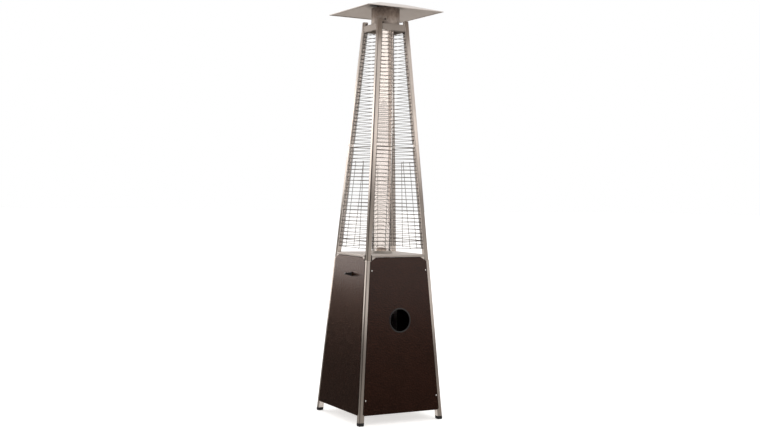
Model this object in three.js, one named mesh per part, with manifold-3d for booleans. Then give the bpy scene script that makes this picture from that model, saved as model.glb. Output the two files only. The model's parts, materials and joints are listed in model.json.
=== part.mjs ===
// Pyramid patio heater with a glass flame tube: four leaning corner posts, a panelled cabinet
// for the gas cylinder, a burner under a quartz tube, wire guards, and a square reflector.
// Millimetres, +Z up, origin on the ground in the middle. The control knob faces -Y.
import * as THREE from 'three';
import { mergeVertices } from 'three/addons/utils/BufferGeometryUtils.js';
import Module from 'manifold-3d';

const wasm = await Module();
wasm.setup();

// Overall form
const BASE_HALF = 258.9;        // half width over the posts at the ground
const TOP_HALF = 96.35;         // half width over the posts at their tops
const OVERALL_HEIGHT = 2270;
const SHEET = 1.5;              // gauge of the folded sheet parts
const GAP = 0.3;                // clearance between parts that touch
const FIT = 0.5;                // clearance between sliding sheet and post faces

// Posts and feet
const LOWER_POST = 30;
const POST_WALL = 1.5;
const POST_PLAY = 1;            // play round the upper post inside the lower one
const UPPER_POST = LOWER_POST - 2 * (POST_WALL + POST_PLAY);
const POST_RADIUS = 6;
const POST_SOCKET = 60;         // length of upper post inside the lower post
const FOOT_HEIGHT = 10;
const FOOT_PLUG = 24;

// Cabinet
const PANEL_BOTTOM = 53;
const PANEL_TOP = 884;
const PANEL_MARGIN = 20;        // post face left bare beside each panel
const PANEL_FOLD = 10;
const CORNER_CUT_WIDE = 32;
const CORNER_CUT_HIGH = 20;
const HAND_HOLE_RADIUS = 60.7;
const HAND_HOLE_HEIGHT = 547;
const TRAY_RIM = 18;
const TRAY_CLEARANCE = 3.5;     // tray rim above the panels' bottom folds
const TRAY_TOP = PANEL_BOTTOM + SHEET + TRAY_CLEARANCE + TRAY_RIM;
const TRAY_VENT_RADIUS = 45;
const POST_JOINT = PANEL_TOP - 15; // height where the upper post leaves the lower one

// Deck, burner and tube
const DECK_RIM = 12;
const PANEL_REVEAL = 2;         // bare gap between the panels and the deck rim
const DECK_TOP = PANEL_TOP + PANEL_REVEAL + DECK_RIM;
const TUBE_RADIUS = 50;
const TUBE_WALL = 2.5;
const TUBE_LEDGE = 6;           // seat width under the tube's outer radius
const SEAT_BASE = 3.3;
const DECK_HOLE_RADIUS = TUBE_RADIUS - TUBE_LEDGE;
const PILOT_RING = 16;          // ring left round the burner for pilot, lead and electrode
const BURNER_RADIUS = DECK_HOLE_RADIUS - PILOT_RING;
const MIXER_RADIUS = 13;
const MIXER_LENGTH = 98;
const JET_LENGTH = 20;

// Head, hung from the overall height
const NUT_HEIGHT = 2;
const REFLECTOR_RISE = 43.4;    // rim up to the flat top
const REFLECTOR_TOP = OVERALL_HEIGHT - NUT_HEIGHT;
const RIM_HEIGHT = REFLECTOR_TOP - REFLECTOR_RISE;
const RIM_HALF = 233.4;
const RIM_HEM = 3;
const FLAT_HALF = 82;
const STUD_CIRCLE = 50;
const SCREEN_RADIUS = 78;
const SCREEN_HEIGHT = 92.5;
const SCREEN_GAP = 20.5;        // slot between the flame screen and the reflector
const SCREEN_TOP = REFLECTOR_TOP - SCREEN_GAP;
const HEAD_TRAY_TOP = SCREEN_TOP - SCREEN_HEIGHT;
const HEAD_TRAY_DEPTH = 36;
const HEAD_HOLE_RADIUS = TUBE_RADIUS - 2;
const TUBE_HEADROOM = 5.5;      // room for the tube to grow under the tray
const TUBE_TOP = HEAD_TRAY_TOP - SHEET - TUBE_HEADROOM;
const POST_TOP = HEAD_TRAY_TOP + 21;
const TAPER = (BASE_HALF - TOP_HALF) / POST_TOP; // inward run of each post face per mm of height

// Guards
const WIRE = 2.6;
const WIRE_PITCH = 20.4;
const GUARD_DEPTH = 3;
const GUARD_INSET = 4;
const LOWER_GUARD_BOTTOM = DECK_TOP + 32;
const UPPER_GUARD_BOTTOM = 1501.2;
const UPPER_GUARD_LIMIT = HEAD_TRAY_TOP - HEAD_TRAY_DEPTH;
const rowsBetween = (bottom, top) => Math.floor((top - bottom - WIRE) / WIRE_PITCH) + 1;
const LOWER_GUARD_ROWS = rowsBetween(LOWER_GUARD_BOTTOM, UPPER_GUARD_BOTTOM);
const UPPER_GUARD_ROWS = rowsBetween(UPPER_GUARD_BOTTOM, UPPER_GUARD_LIMIT);
const UPRIGHT_LOW = 78;         // sideways offset of the guard uprights at their lower ends
const UPRIGHT_HIGH = 45;        // and at their upper ends

// Gas control
const KNOB_SIDE = 35;           // sideways offset of the control from the middle
const KNOB_HEIGHT = PANEL_TOP - 96;
const SPINDLE_RADIUS = 4;
const PUSH_TRAVEL = 3.5;
const SKIRT_RADIUS = 13;
const KNOB_LENGTH = 37.5;
const NECK_RADIUS = SPINDLE_RADIUS + 5;

// Door hinge line, measured from the door's own edge and outer face
const HINGE_SIDE = 4;
const HINGE_OUT = 4;
const PIN_RADIUS = 2.5;

const finish = (color, roughness, metalness) => new THREE.MeshStandardMaterial({ color, roughness, metalness });
const postSteel = finish(0xb0a59b, 0.32, 0.9);
const bronze = finish(0x3f2f2a, 0.38, 0.55);
const stainless = finish(0xc8c2bc, 0.25, 0.95);
const wireSteel = finish(0x8d847d, 0.35, 0.9);
const reflectorSteel = finish(0xa89b91, 0.4, 0.85);
const heatedSteel = finish(0x887b72, 0.5, 0.8);
const clearGlass = finish(0xe8d8cc, 0.06, 0);
const blackRubber = finish(0x141313, 0.8, 0);
const blackPlastic = finish(0x100e0e, 0.45, 0);
const sealRubber = finish(0x2a2626, 0.7, 0);
const brass = finish(0xb9924a, 0.35, 0.9);
const aluminium = finish(0xb9bbbd, 0.4, 0.9);
const castZinc = finish(0x9a9a98, 0.5, 0.8);
const copper = finish(0xb06a45, 0.35, 0.9);
const ceramic = finish(0xe8e4dc, 0.4, 0);

const heater = new THREE.Group();
const halfAt = (height) => BASE_HALF - TAPER * height;

function bare(geometry) {
  const copy = geometry.index ? geometry.clone() : geometry;
  copy.deleteAttribute('normal');
  copy.deleteAttribute('uv');
  return mergeVertices(copy, 1e-4);
}

function solid(geometry) {
  const merged = bare(geometry);
  const vertProperties = new Float32Array(merged.attributes.position.array);
  const triVerts = new Uint32Array(merged.index.array);
  return new wasm.Manifold(new wasm.Mesh({ numProp: 3, vertProperties, triVerts }));
}

function shell(manifold) {
  const mesh = manifold.getMesh();
  const geometry = new THREE.BufferGeometry();
  geometry.setAttribute('position', new THREE.BufferAttribute(new Float32Array(mesh.vertProperties), 3));
  geometry.setIndex(new THREE.BufferAttribute(new Uint32Array(mesh.triVerts), 1));
  geometry.computeVertexNormals();
  return geometry;
}

function join(first, ...others) {
  return shell(others.reduce((sum, geometry) => sum.add(solid(geometry)), solid(first)));
}

function cut(body, ...tools) {
  return shell(tools.reduce((rest, geometry) => rest.subtract(solid(geometry)), solid(body)));
}

function add(parent, name, geometry, material) {
  const mesh = new THREE.Mesh(geometry, material);
  mesh.name = name;
  parent.add(mesh);
  return mesh;
}

function outline(points) {
  return new THREE.Shape(points.map(([x, y]) => new THREE.Vector2(x, y)));
}

function extrude(shape, depth, curveSegments = 12) {
  return new THREE.ExtrudeGeometry(shape, { depth, bevelEnabled: false, curveSegments, steps: 1 });
}

function boxBetween(low, high) {
  const size = high.map((value, axis) => value - low[axis]);
  const middle = high.map((value, axis) => (value + low[axis]) / 2);
  return new THREE.BoxGeometry(...size).translate(...middle);
}

function rod(radius, bottom, top, segments = 16) {
  const geometry = new THREE.CylinderGeometry(radius, radius, top - bottom, segments);
  return geometry.rotateX(Math.PI / 2).translate(0, 0, (top + bottom) / 2);
}

// Closed profile of [radius, height] pairs turned about +Z
function turned(profile, segments = 32) {
  const points = profile.map(([radius, height]) => new THREE.Vector2(radius, height));
  if (profile[0][0] > 0 || profile[profile.length - 1][0] > 0) points.push(points[0].clone());
  return new THREE.LatheGeometry(points, segments).rotateX(Math.PI / 2);
}

function tubeAlong(points, radius, halfSides, steps) {
  const section = new THREE.Shape();
  section.absarc(0, 0, radius, 0, Math.PI * 2);
  const extrudePath = new THREE.CatmullRomCurve3(points.map((point) => new THREE.Vector3(...point)));
  return new THREE.ExtrudeGeometry(section, { steps, curveSegments: halfSides, extrudePath, bevelEnabled: false });
}

// Face space: x across a side, y up it, z outward from the post faces. This sets it on the -Y side.
const onFace = new THREE.Matrix4().set(
  1, 0, 0, 0,
  0, TAPER, -1, -BASE_HALF,
  0, 1, 0, 0,
  0, 0, 0, 1
);

// Corner space: x and y measured in from the post's outer corner, z up. Sets it on the +X -Y corner.
function onCorner(inset) {
  return new THREE.Matrix4().set(
    1, 0, -TAPER, BASE_HALF - inset,
    0, 1, TAPER, -BASE_HALF + inset,
    0, 0, 1, 0,
    0, 0, 0, 1
  );
}

const SIDES = ['front', 'right', 'rear', 'left'];
const CORNERS = ['front_right', 'rear_right', 'rear_left', 'front_left'];

function quarterGroup(index) {
  const group = new THREE.Group();
  group.rotation.z = (index * Math.PI) / 2;
  heater.add(group);
  return group;
}

function squareOutline(size, radius) {
  const shape = new THREE.Shape();
  shape.moveTo(-size, 0);
  shape.lineTo(-radius, 0);
  shape.quadraticCurveTo(0, 0, 0, radius);
  shape.lineTo(0, size);
  shape.lineTo(-size, size);
  shape.closePath();
  return shape;
}

function postGeometry(size, inset, bottom, top) {
  const shape = squareOutline(size, POST_RADIUS);
  const inner = size - POST_WALL;
  const bore = outline([
    [-inner, POST_WALL], [-inner, inner], [-POST_WALL, inner],
    [-POST_WALL, POST_WALL + 2], [-POST_WALL - 2, POST_WALL],
  ]);
  shape.holes.push(bore);
  return extrude(shape, top - bottom, 3).translate(0, 0, bottom).applyMatrix4(onCorner(inset));
}

function footGeometry() {
  const grow = 1.2;
  const bevel = 3;
  const size = LOWER_POST + 2 * grow - 2 * bevel;
  const pad = new THREE.ExtrudeGeometry(squareOutline(size, POST_RADIUS), {
    depth: FOOT_HEIGHT - 2 * bevel - GAP,
    bevelThickness: bevel,
    bevelSize: bevel,
    bevelSegments: 1,
    curveSegments: 2,
  });
  pad.translate(grow - bevel, bevel - grow, bevel);
  const wall = POST_WALL + GAP;
  const plug = boxBetween(
    [wall - LOWER_POST, wall + 3, FOOT_HEIGHT - 2],
    [-wall - 3, LOWER_POST - wall, FOOT_HEIGHT + FOOT_PLUG]
  );
  const lean = onCorner(0);
  return join(pad.applyMatrix4(lean), plug.applyMatrix4(lean));
}

function addPosts() {
  CORNERS.forEach((corner, index) => {
    const group = quarterGroup(index);
    add(group, `foot_cap_${corner}`, footGeometry(), blackRubber);
    add(group, `lower_post_${corner}`, postGeometry(LOWER_POST, 0, FOOT_HEIGHT, POST_JOINT), postSteel);
    const inset = POST_WALL + FIT;
    const bottom = POST_JOINT - POST_SOCKET;
    add(group, `upper_post_${corner}`, postGeometry(UPPER_POST, inset, bottom, POST_TOP), postSteel);
  });
}

function panelOutline() {
  const edge = (height) => halfAt(height) - PANEL_MARGIN;
  const shoulder = PANEL_TOP - CORNER_CUT_HIGH;
  const right = [
    [edge(PANEL_BOTTOM) - 8, PANEL_BOTTOM],
    [edge(PANEL_BOTTOM + 8), PANEL_BOTTOM + 8],
    [edge(shoulder), shoulder],
    [edge(PANEL_TOP) - CORNER_CUT_WIDE, PANEL_TOP],
  ];
  const left = right.map(([x, y]) => [-x, y]).reverse();
  return outline([...right, ...left]);
}

// A cabinet side: sheet with its top and bottom edges folded inward between the posts
function panelSolid() {
  const sheet = extrude(panelOutline(), SHEET).translate(0, 0, GAP);
  const topHalf = halfAt(PANEL_TOP) - PANEL_MARGIN - CORNER_CUT_WIDE - 1;
  const bottomHalf = halfAt(PANEL_BOTTOM) - LOWER_POST - 2;
  const topFold = boxBetween([-topHalf, PANEL_TOP - SHEET, GAP - PANEL_FOLD], [topHalf, PANEL_TOP, GAP + 0.5]);
  const bottomFold = boxBetween(
    [-bottomHalf, PANEL_BOTTOM, GAP - PANEL_FOLD],
    [bottomHalf, PANEL_BOTTOM + SHEET, GAP + 0.5]
  );
  return join(sheet, topFold, bottomFold);
}

function addPanels() {
  const frontHole = rod(SPINDLE_RADIUS + 2.5, -10, 10).translate(KNOB_SIDE, KNOB_HEIGHT, 0);
  const handHole = rod(HAND_HOLE_RADIUS, -10, 10, 40).translate(0, HAND_HOLE_HEIGHT, 0);
  const front = cut(panelSolid(), frontHole).applyMatrix4(onFace);
  const right = cut(panelSolid(), handHole).applyMatrix4(onFace);
  add(quarterGroup(0), 'front_panel', front, bronze);
  add(quarterGroup(1), 'right_panel', right, bronze);
  add(quarterGroup(3), 'left_panel', panelSolid().applyMatrix4(onFace), bronze);
}

// Edging pressed into the hand hole: a thin sleeve with an outer lip
function addHandHoleRing() {
  const outside = GAP + SHEET + GAP;
  const sleeve = HAND_HOLE_RADIUS - GAP;
  const bore = sleeve - 2;
  const lip = sleeve + 3.5;
  const ring = turned([
    [bore, -3], [sleeve, -3], [sleeve, outside], [lip, outside], [lip, outside + 1.6], [bore, outside + 1.6],
  ], 40);
  ring.translate(0, HAND_HOLE_HEIGHT, 0).applyMatrix4(onFace);
  add(quarterGroup(1), 'hand_hole_ring', ring, blackPlastic);
}

// Hinge line runs parallel to the door's side edge, so it leans both ways with the post
function alongHinge(geometry) {
  const lean = new THREE.Matrix4().set(
    1, -TAPER, 0, BASE_HALF - PANEL_MARGIN + HINGE_SIDE,
    0, 1, 0, 0,
    0, 0, 1, GAP + SHEET + HINGE_OUT,
    0, 0, 0, 1
  );
  return geometry.applyMatrix4(lean).applyMatrix4(onFace);
}

const HINGE_HEIGHTS = { lower: PANEL_BOTTOM + 117, upper: PANEL_TOP - 124 };
const LUG_HIGH = 20;

function hingeRod(radius, bottom, top) {
  return new THREE.CylinderGeometry(radius, radius, top - bottom, 16).translate(0, (top + bottom) / 2, 0);
}

function addDoor() {
  let door = panelSolid().applyMatrix4(onFace);
  Object.values(HINGE_HEIGHTS).forEach((height) => {
    const lug = hingeRod(4.5, height, height + LUG_HIGH);
    const strap = boxBetween([-22, height, -HINGE_OUT - 0.5], [0, height + LUG_HIGH, -HINGE_OUT + 1.5]);
    const web = boxBetween([-4.5, height, -HINGE_OUT - 0.5], [0, height + LUG_HIGH, 0]);
    door = join(door, alongHinge(lug), alongHinge(strap), alongHinge(web));
    door = cut(door, alongHinge(hingeRod(PIN_RADIUS + 0.5, height - 5, height + LUG_HIGH + 5)));
  });
  const group = quarterGroup(2);
  add(group, 'rear_door', door, bronze);
  Object.entries(HINGE_HEIGHTS).forEach(([place, height]) => {
    const low = height - 6;
    const high = height + LUG_HIGH + 6;
    const postFace = -HINGE_OUT - SHEET;
    const leaf = boxBetween([6, low, postFace], [12, high, postFace + 2]);
    const arms = [[low, low + 3], [high - 3, high]].map(([bottom, top]) => {
      return boxBetween([-3, bottom, postFace + 0.5], [11, top, 3]);
    });
    const pin = hingeRod(PIN_RADIUS, low + 1, high - 1);
    const hinge = join(alongHinge(leaf), ...arms.map(alongHinge), alongHinge(pin));
    add(group, `door_hinge_${place}`, hinge, stainless);
  });
  const catchTop = POST_JOINT - 10;
  const postSide = halfAt(catchTop) - LOWER_POST - FIT;
  const catchBlock = boxBetween([-postSide, catchTop - 14, -14], [30 - postSide, catchTop, -0.4]).applyMatrix4(onFace);
  add(group, 'door_magnet', catchBlock, blackPlastic);
}

// Square plate with a notch round each post and its straight edges turned down
function notchedPlate(half, notch, top, rim) {
  const points = [];
  for (let quarter = 0; quarter < 4; quarter += 1) {
    const turn = (x, y) => {
      const angle = (quarter * Math.PI) / 2;
      return [x * Math.cos(angle) - y * Math.sin(angle), x * Math.sin(angle) + y * Math.cos(angle)];
    };
    points.push(turn(half, -notch), turn(half, notch), turn(notch, notch));
  }
  const plate = extrude(outline(points), SHEET).translate(0, 0, top - SHEET);
  const rims = [0, 1, 2, 3].map((quarter) => {
    const edge = boxBetween([half - SHEET, -notch, top - rim], [half, notch, top - 0.5]);
    return edge.rotateZ((quarter * Math.PI) / 2);
  });
  return join(plate, ...rims);
}

function addTrays() {
  const trayHalf = halfAt(TRAY_TOP) - 1;
  const trayNotch = halfAt(TRAY_TOP) - LOWER_POST - FIT;
  const floor = notchedPlate(trayHalf, trayNotch, TRAY_TOP, TRAY_RIM);
  add(heater, 'base_tray', cut(floor, rod(TRAY_VENT_RADIUS, TRAY_TOP - 50, TRAY_TOP + 50, 32)), stainless);

  const deckHalf = halfAt(DECK_TOP) + GAP + SHEET;
  const postInner = POST_WALL + FIT + UPPER_POST;
  const deckNotch = halfAt(DECK_TOP) - postInner - FIT;
  const deck = notchedPlate(deckHalf, deckNotch, DECK_TOP, DECK_RIM);
  add(heater, 'burner_deck', cut(deck, rod(DECK_HOLE_RADIUS, DECK_TOP - 90, DECK_TOP + 90, 32)), stainless);

  const headHalf = halfAt(HEAD_TRAY_TOP) - 3.5;
  const headNotch = halfAt(HEAD_TRAY_TOP) - postInner - FIT;
  const head = notchedPlate(headHalf, headNotch, HEAD_TRAY_TOP, HEAD_TRAY_DEPTH);
  add(heater, 'fixing_tray', cut(head, rod(HEAD_HOLE_RADIUS, HEAD_TRAY_TOP - 90, HEAD_TRAY_TOP + 90, 32)), heatedSteel);
}

function addTube() {
  const bottom = DECK_TOP + GAP;
  const seat = turned([
    [DECK_HOLE_RADIUS, bottom], [TUBE_RADIUS + 10, bottom], [TUBE_RADIUS + 7, bottom + 14], [TUBE_RADIUS + GAP, bottom + 14],
    [TUBE_RADIUS + GAP, bottom + SEAT_BASE], [DECK_HOLE_RADIUS, bottom + SEAT_BASE],
  ], 40);
  add(heater, 'tube_seat', seat, sealRubber);

  const tubeBottom = bottom + SEAT_BASE + GAP;
  const inner = TUBE_RADIUS - TUBE_WALL;
  const tube = turned([
    [inner, tubeBottom], [TUBE_RADIUS, tubeBottom], [TUBE_RADIUS, TUBE_TOP], [inner, TUBE_TOP],
  ], 40);
  add(heater, 'glass_tube', tube, clearGlass);

  const under = HEAD_TRAY_TOP - SHEET - GAP;
  const collar = turned([
    [inner - 1, under], [inner - 1, TUBE_TOP + GAP], [TUBE_RADIUS + GAP, TUBE_TOP + GAP],
    [TUBE_RADIUS + GAP, under - 16], [TUBE_RADIUS + 10, under - 16], [TUBE_RADIUS + 13, under],
  ], 40);
  add(heater, 'tube_collar', collar, stainless);
}

const MIXER_BOTTOM = DECK_TOP + 12 - MIXER_LENGTH;
const JET_BOTTOM = MIXER_BOTTOM - JET_LENGTH;

// Places in the ring round the burner
function beside(outward, degrees) {
  const angle = (degrees * Math.PI) / 180;
  const radius = BURNER_RADIUS + outward;
  return [radius * Math.cos(angle), radius * Math.sin(angle)];
}

const pilotPlace = beside(7.5, 189.7);
const couplePlace = beside(6.2, 164.7);
const sparkPlace = beside(6.4, 144.5);

function addBurner() {
  const plateTop = DECK_TOP - SHEET - GAP;
  const holes = [[0, 0, MIXER_RADIUS + FIT], [...pilotPlace, 3.1], [...couplePlace, 2.6], [...sparkPlace, 3.6]];
  const disc = rod(DECK_HOLE_RADIUS + 18, plateTop - SHEET, plateTop, 40);
  const drills = holes.map(([x, y, radius]) => rod(radius, plateTop - 90, plateTop + 90, 12).translate(x, y, 0));
  add(heater, 'burner_plate', cut(disc, ...drills), stainless);

  const bottom = MIXER_BOTTOM;
  const top = MIXER_BOTTOM + MIXER_LENGTH;
  const inner = MIXER_RADIUS - 1.5;
  const mixer = turned([
    [4.5, bottom], [MIXER_RADIUS, bottom], [MIXER_RADIUS, top], [inner, top], [inner, bottom + 2], [4.5, bottom + 2],
  ], 24);
  const windows = [0, 1].map((quarter) => {
    const reach = MIXER_RADIUS + 7;
    return boxBetween([-reach, -5, bottom + 6], [reach, 5, bottom + 26]).rotateZ((quarter * Math.PI) / 2);
  });
  add(heater, 'burner_mixer', cut(mixer, ...windows), castZinc);

  const low = DECK_TOP + 5;
  const port = MIXER_RADIUS + 0.4;
  const cap = turned([
    [port, low], [BURNER_RADIUS, low], [BURNER_RADIUS, low + 24], [BURNER_RADIUS - 8, low + 31], [0, low + 33],
    [0, low + 31.5], [BURNER_RADIUS - 9, low + 29.5], [BURNER_RADIUS - 1.5, low + 23], [BURNER_RADIUS - 1.5, low + 1.5],
    [port + 1.5, low + 1.5], [port + 1.5, low + 8], [port, low + 8], [port, low],
  ], 24);
  const slots = [...Array(6).keys()].map((index) => {
    const reach = BURNER_RADIUS + 12;
    return boxBetween([-reach, -1.5, low + 10], [reach, 1.5, low + 19]).rotateZ((index * Math.PI) / 6);
  });
  add(heater, 'burner_head', cut(cap, ...slots), heatedSteel);

  const shoulder = JET_BOTTOM + 12;
  const jet = turned([[0, JET_BOTTOM], [8, JET_BOTTOM], [8, shoulder], [6, shoulder + 3], [6, bottom - GAP],
    [3.9, bottom - GAP], [3.9, bottom + 5], [2.5, bottom + 9], [0, bottom + 9]], 12);
  add(heater, 'gas_jet', jet, brass);

  const hood = turned([
    [3, plateTop + GAP], [5, plateTop + GAP], [5, DECK_TOP + 26], [3.6, DECK_TOP + 28], [1.2, DECK_TOP + 28],
    [1.2, DECK_TOP + 24], [3, DECK_TOP + 22],
  ], 12).translate(...pilotPlace, 0);
  add(heater, 'pilot_burner', hood, brass);

  const electrode = turned([
    [0, -16], [1.5, -16], [1.5, -8], [3, -7], [3, 16], [1.2, 18], [1.2, 30], [0, 30],
  ], 12).translate(...sparkPlace, DECK_TOP);
  add(heater, 'spark_electrode', electrode, ceramic);

  const switchSide = DECK_HOLE_RADIUS + 22;
  const switchBox = boxBetween([switchSide, 50, plateTop - 34], [switchSide + 36, 76, plateTop]);
  add(heater, 'tip_switch', switchBox, blackPlastic);
}

// Control space: origin on the front panel's outer face, z outward, y up the panel
function controlGroup() {
  const group = new THREE.Group();
  const lean = Math.atan(TAPER);
  group.position.set(KNOB_SIDE, -(halfAt(KNOB_HEIGHT) + GAP + SHEET), KNOB_HEIGHT);
  group.rotation.x = Math.PI / 2 - lean;
  heater.add(group);
  return group;
}

const COLLAR_FRONT = -10;
const COLLAR_THICK = 3;
const NECK_FRONT = COLLAR_FRONT - COLLAR_THICK - PUSH_TRAVEL - 0.5;
const PLATE_FRONT = NECK_FRONT - 2;
const BODY_FRONT = NECK_FRONT - 17;
const BODY_BACK = BODY_FRONT - 34;

function addControl() {
  const group = controlGroup();
  const bore = SPINDLE_RADIUS + 0.4;
  const neck = rod(NECK_RADIUS, BODY_FRONT - 1, NECK_FRONT, 24);
  const block = boxBetween([-22, -17, BODY_BACK], [22, 17, BODY_FRONT]);
  const valve = cut(join(block, neck), rod(bore, BODY_FRONT - 10, 0, 16));
  add(group, 'gas_valve', valve, castZinc);

  const inletBottom = -46;
  const inlet = new THREE.LatheGeometry([
    [2.5, -17 - GAP], [2.5, inletBottom], [6.5, inletBottom], [6.5, -31], [10, -31], [10, -22], [7, -22],
    [7, -17 - GAP], [2.5, -17 - GAP],
  ].map(([radius, height]) => new THREE.Vector2(radius, height)), 12);
  add(group, 'valve_inlet', inlet.translate(0, 0, BODY_FRONT - 17), brass);

  const deep = PLATE_FRONT - SHEET;
  const foot = -SHEET - GAP;
  const hat = extrude(outline([
    [-48, foot - SHEET], [-48, foot], [-36, foot], [-36, deep + SHEET], [36, deep + SHEET], [36, foot],
    [48, foot], [48, foot - SHEET], [36 + SHEET, foot - SHEET], [36 + SHEET, deep],
    [-36 - SHEET, deep], [-36 - SHEET, foot - SHEET],
  ].reverse()), 56).rotateX(Math.PI / 2).translate(0, 28, 0);
  add(group, 'control_bracket', cut(hat, rod(NECK_RADIUS + 0.6, deep - 5, deep + 5, 24)), stainless);

  const spindleBack = BODY_FRONT - 10 + PUSH_TRAVEL + 0.5;
  const knobBack = PUSH_TRAVEL + 1;
  const spindleFront = knobBack + 20;
  add(group, 'valve_spindle', rod(SPINDLE_RADIUS, spindleBack, spindleFront, 16), brass);
  const washer = turned([
    [SPINDLE_RADIUS + GAP, COLLAR_FRONT - COLLAR_THICK], [SPINDLE_RADIUS + 4.5, COLLAR_FRONT - COLLAR_THICK],
    [SPINDLE_RADIUS + 4.5, COLLAR_FRONT], [SPINDLE_RADIUS + GAP, COLLAR_FRONT],
  ], 24);
  add(group, 'push_collar', washer, stainless);

  const skirt = rod(SKIRT_RADIUS, knobBack, knobBack + 5, 32);
  const grip = boxBetween([-11.5, -5.5, knobBack + 4], [11.5, 5.5, knobBack + KNOB_LENGTH]);
  const hub = rod(SPINDLE_RADIUS + 3.5, knobBack + 4, knobBack + 24, 20);
  const knob = cut(join(skirt, grip, hub), rod(SPINDLE_RADIUS + GAP, knobBack - 5, spindleFront + GAP, 16));
  add(group, 'control_knob', knob, blackPlastic);
}

function addPipes() {
  const frame = controlGroup();
  frame.updateMatrixWorld(true);
  const port = (x, y, back) => new THREE.Vector3(x, y, BODY_BACK - GAP - back).applyMatrix4(frame.matrixWorld);
  const at = (...place) => port(...place).toArray();
  heater.remove(frame);

  const feed = [
    at(0, 0, 0), at(0, 0, 22), [26, -70, JET_BOTTOM - 21], [8, -22, JET_BOTTOM - 20],
    [0, 0, JET_BOTTOM - 12], [0, 0, JET_BOTTOM - GAP],
  ];
  add(heater, 'feed_pipe', tubeAlong(feed, 4, 4, 16), aluminium);
  const pilotTop = DECK_TOP + 12;
  const riser = ([x, y], top) => [DECK_TOP - 26, DECK_TOP - 18, DECK_TOP - 10, top].map((height) => [x, y, height]);
  const pilot = [
    at(13, 8, 0), at(13, 8, 16), [20, -80, DECK_TOP - 86], [-20, -24, DECK_TOP - 52], ...riser(pilotPlace, pilotTop),
  ];
  add(heater, 'pilot_pipe', tubeAlong(pilot, 2, 3, 24), aluminium);
  const couple = [
    at(-13, 8, 0), at(-13, 8, 16), [-10, -70, DECK_TOP - 76], [-30, -10, DECK_TOP - 50],
    ...riser(couplePlace, DECK_TOP + 26),
  ];
  add(heater, 'thermocouple', tubeAlong(couple, 2, 3, 24), copper);
}

// One guard face: horizontal wires let into two side rods
function guardFace(bottom, rows, heavyRows) {
  const side = POST_WALL + FIT + UPPER_POST + 0.6;
  const edge = (height) => halfAt(height) - side;
  const middle = (row) => bottom + WIRE / 2 + row * WIRE_PITCH;
  const low = middle(0) - WIRE;
  const high = middle(rows - 1) + WIRE;
  const back = -GUARD_INSET - GUARD_DEPTH;
  const rods = [-1, 1].map((hand) => {
    const points = [[edge(low), low], [edge(high), high], [edge(high) - WIRE, high], [edge(low) - WIRE, low]];
    const strip = outline(points.map(([x, y]) => [hand * x, y]));
    return extrude(strip, GUARD_DEPTH).translate(0, 0, back);
  });
  const wires = [...Array(rows).keys()].map((row) => {
    const half = (heavyRows.includes(row) ? 2 * WIRE : WIRE) / 2;
    const reach = edge(middle(row)) - WIRE / 2;
    return boxBetween([-reach, middle(row) - half, back + 0.3], [reach, middle(row) + half, -GUARD_INSET - 0.3]);
  });
  return [...rods, ...wires];
}

// Two splayed uprights behind the lower wires, hooked on at their top and bottom ends
function guardUprights() {
  const back = -GUARD_INSET - GUARD_DEPTH;
  const rows = [0, LOWER_GUARD_ROWS - 5].map((row) => LOWER_GUARD_BOTTOM + WIRE / 2 + row * WIRE_PITCH);
  const spread = [UPRIGHT_LOW, UPRIGHT_HIGH];
  return [-1, 1].flatMap((hand) => {
    const [low, high] = rows;
    const [wide, narrow] = spread.map((x) => hand * x);
    const half = WIRE / 2;
    const bar = extrude(outline([[wide - half, low - half], [wide + half, low - half], [narrow + half, high + half],
      [narrow - half, high + half]]), WIRE).translate(0, 0, back - 0.6 - WIRE);
    const hooks = [[wide, low], [narrow, high]].map(([x, y]) => {
      return boxBetween([x - half + 0.3, y - half + 0.3, back - 1.6], [x + half - 0.3, y + half - 0.3, back + 1]);
    });
    return [bar, ...hooks];
  });
}

function addGuards() {
  SIDES.forEach((side, index) => {
    const group = quarterGroup(index);
    const lower = [...guardFace(LOWER_GUARD_BOTTOM, LOWER_GUARD_ROWS, [2, LOWER_GUARD_ROWS - 1]), ...guardUprights()];
    add(group, `lower_guard_${side}`, join(...lower).applyMatrix4(onFace), wireSteel);
    const upper = join(...guardFace(UPPER_GUARD_BOTTOM, UPPER_GUARD_ROWS, [])).applyMatrix4(onFace);
    add(group, `upper_guard_${side}`, upper, wireSteel);
  });
}

const LEG_ANGLES = [-Math.PI / 6, Math.PI / 2, (7 * Math.PI) / 6];
const SCREEN_BOTTOM = HEAD_TRAY_TOP + GAP;

function addScreen() {
  const inner = SCREEN_RADIUS - 1.2;
  const wall = turned([
    [inner, SCREEN_BOTTOM], [SCREEN_RADIUS, SCREEN_BOTTOM], [SCREEN_RADIUS, SCREEN_TOP], [inner, SCREEN_TOP],
  ], 48);
  const drills = LEG_ANGLES.map((angle) => {
    const drill = new THREE.CylinderGeometry(3, 3, 20, 10).rotateZ(Math.PI / 2);
    return drill.translate(SCREEN_RADIUS, 0, SCREEN_BOTTOM + 26).rotateZ(angle);
  });
  add(heater, 'flame_screen', cut(wall, ...drills), heatedSteel);
}

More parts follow.
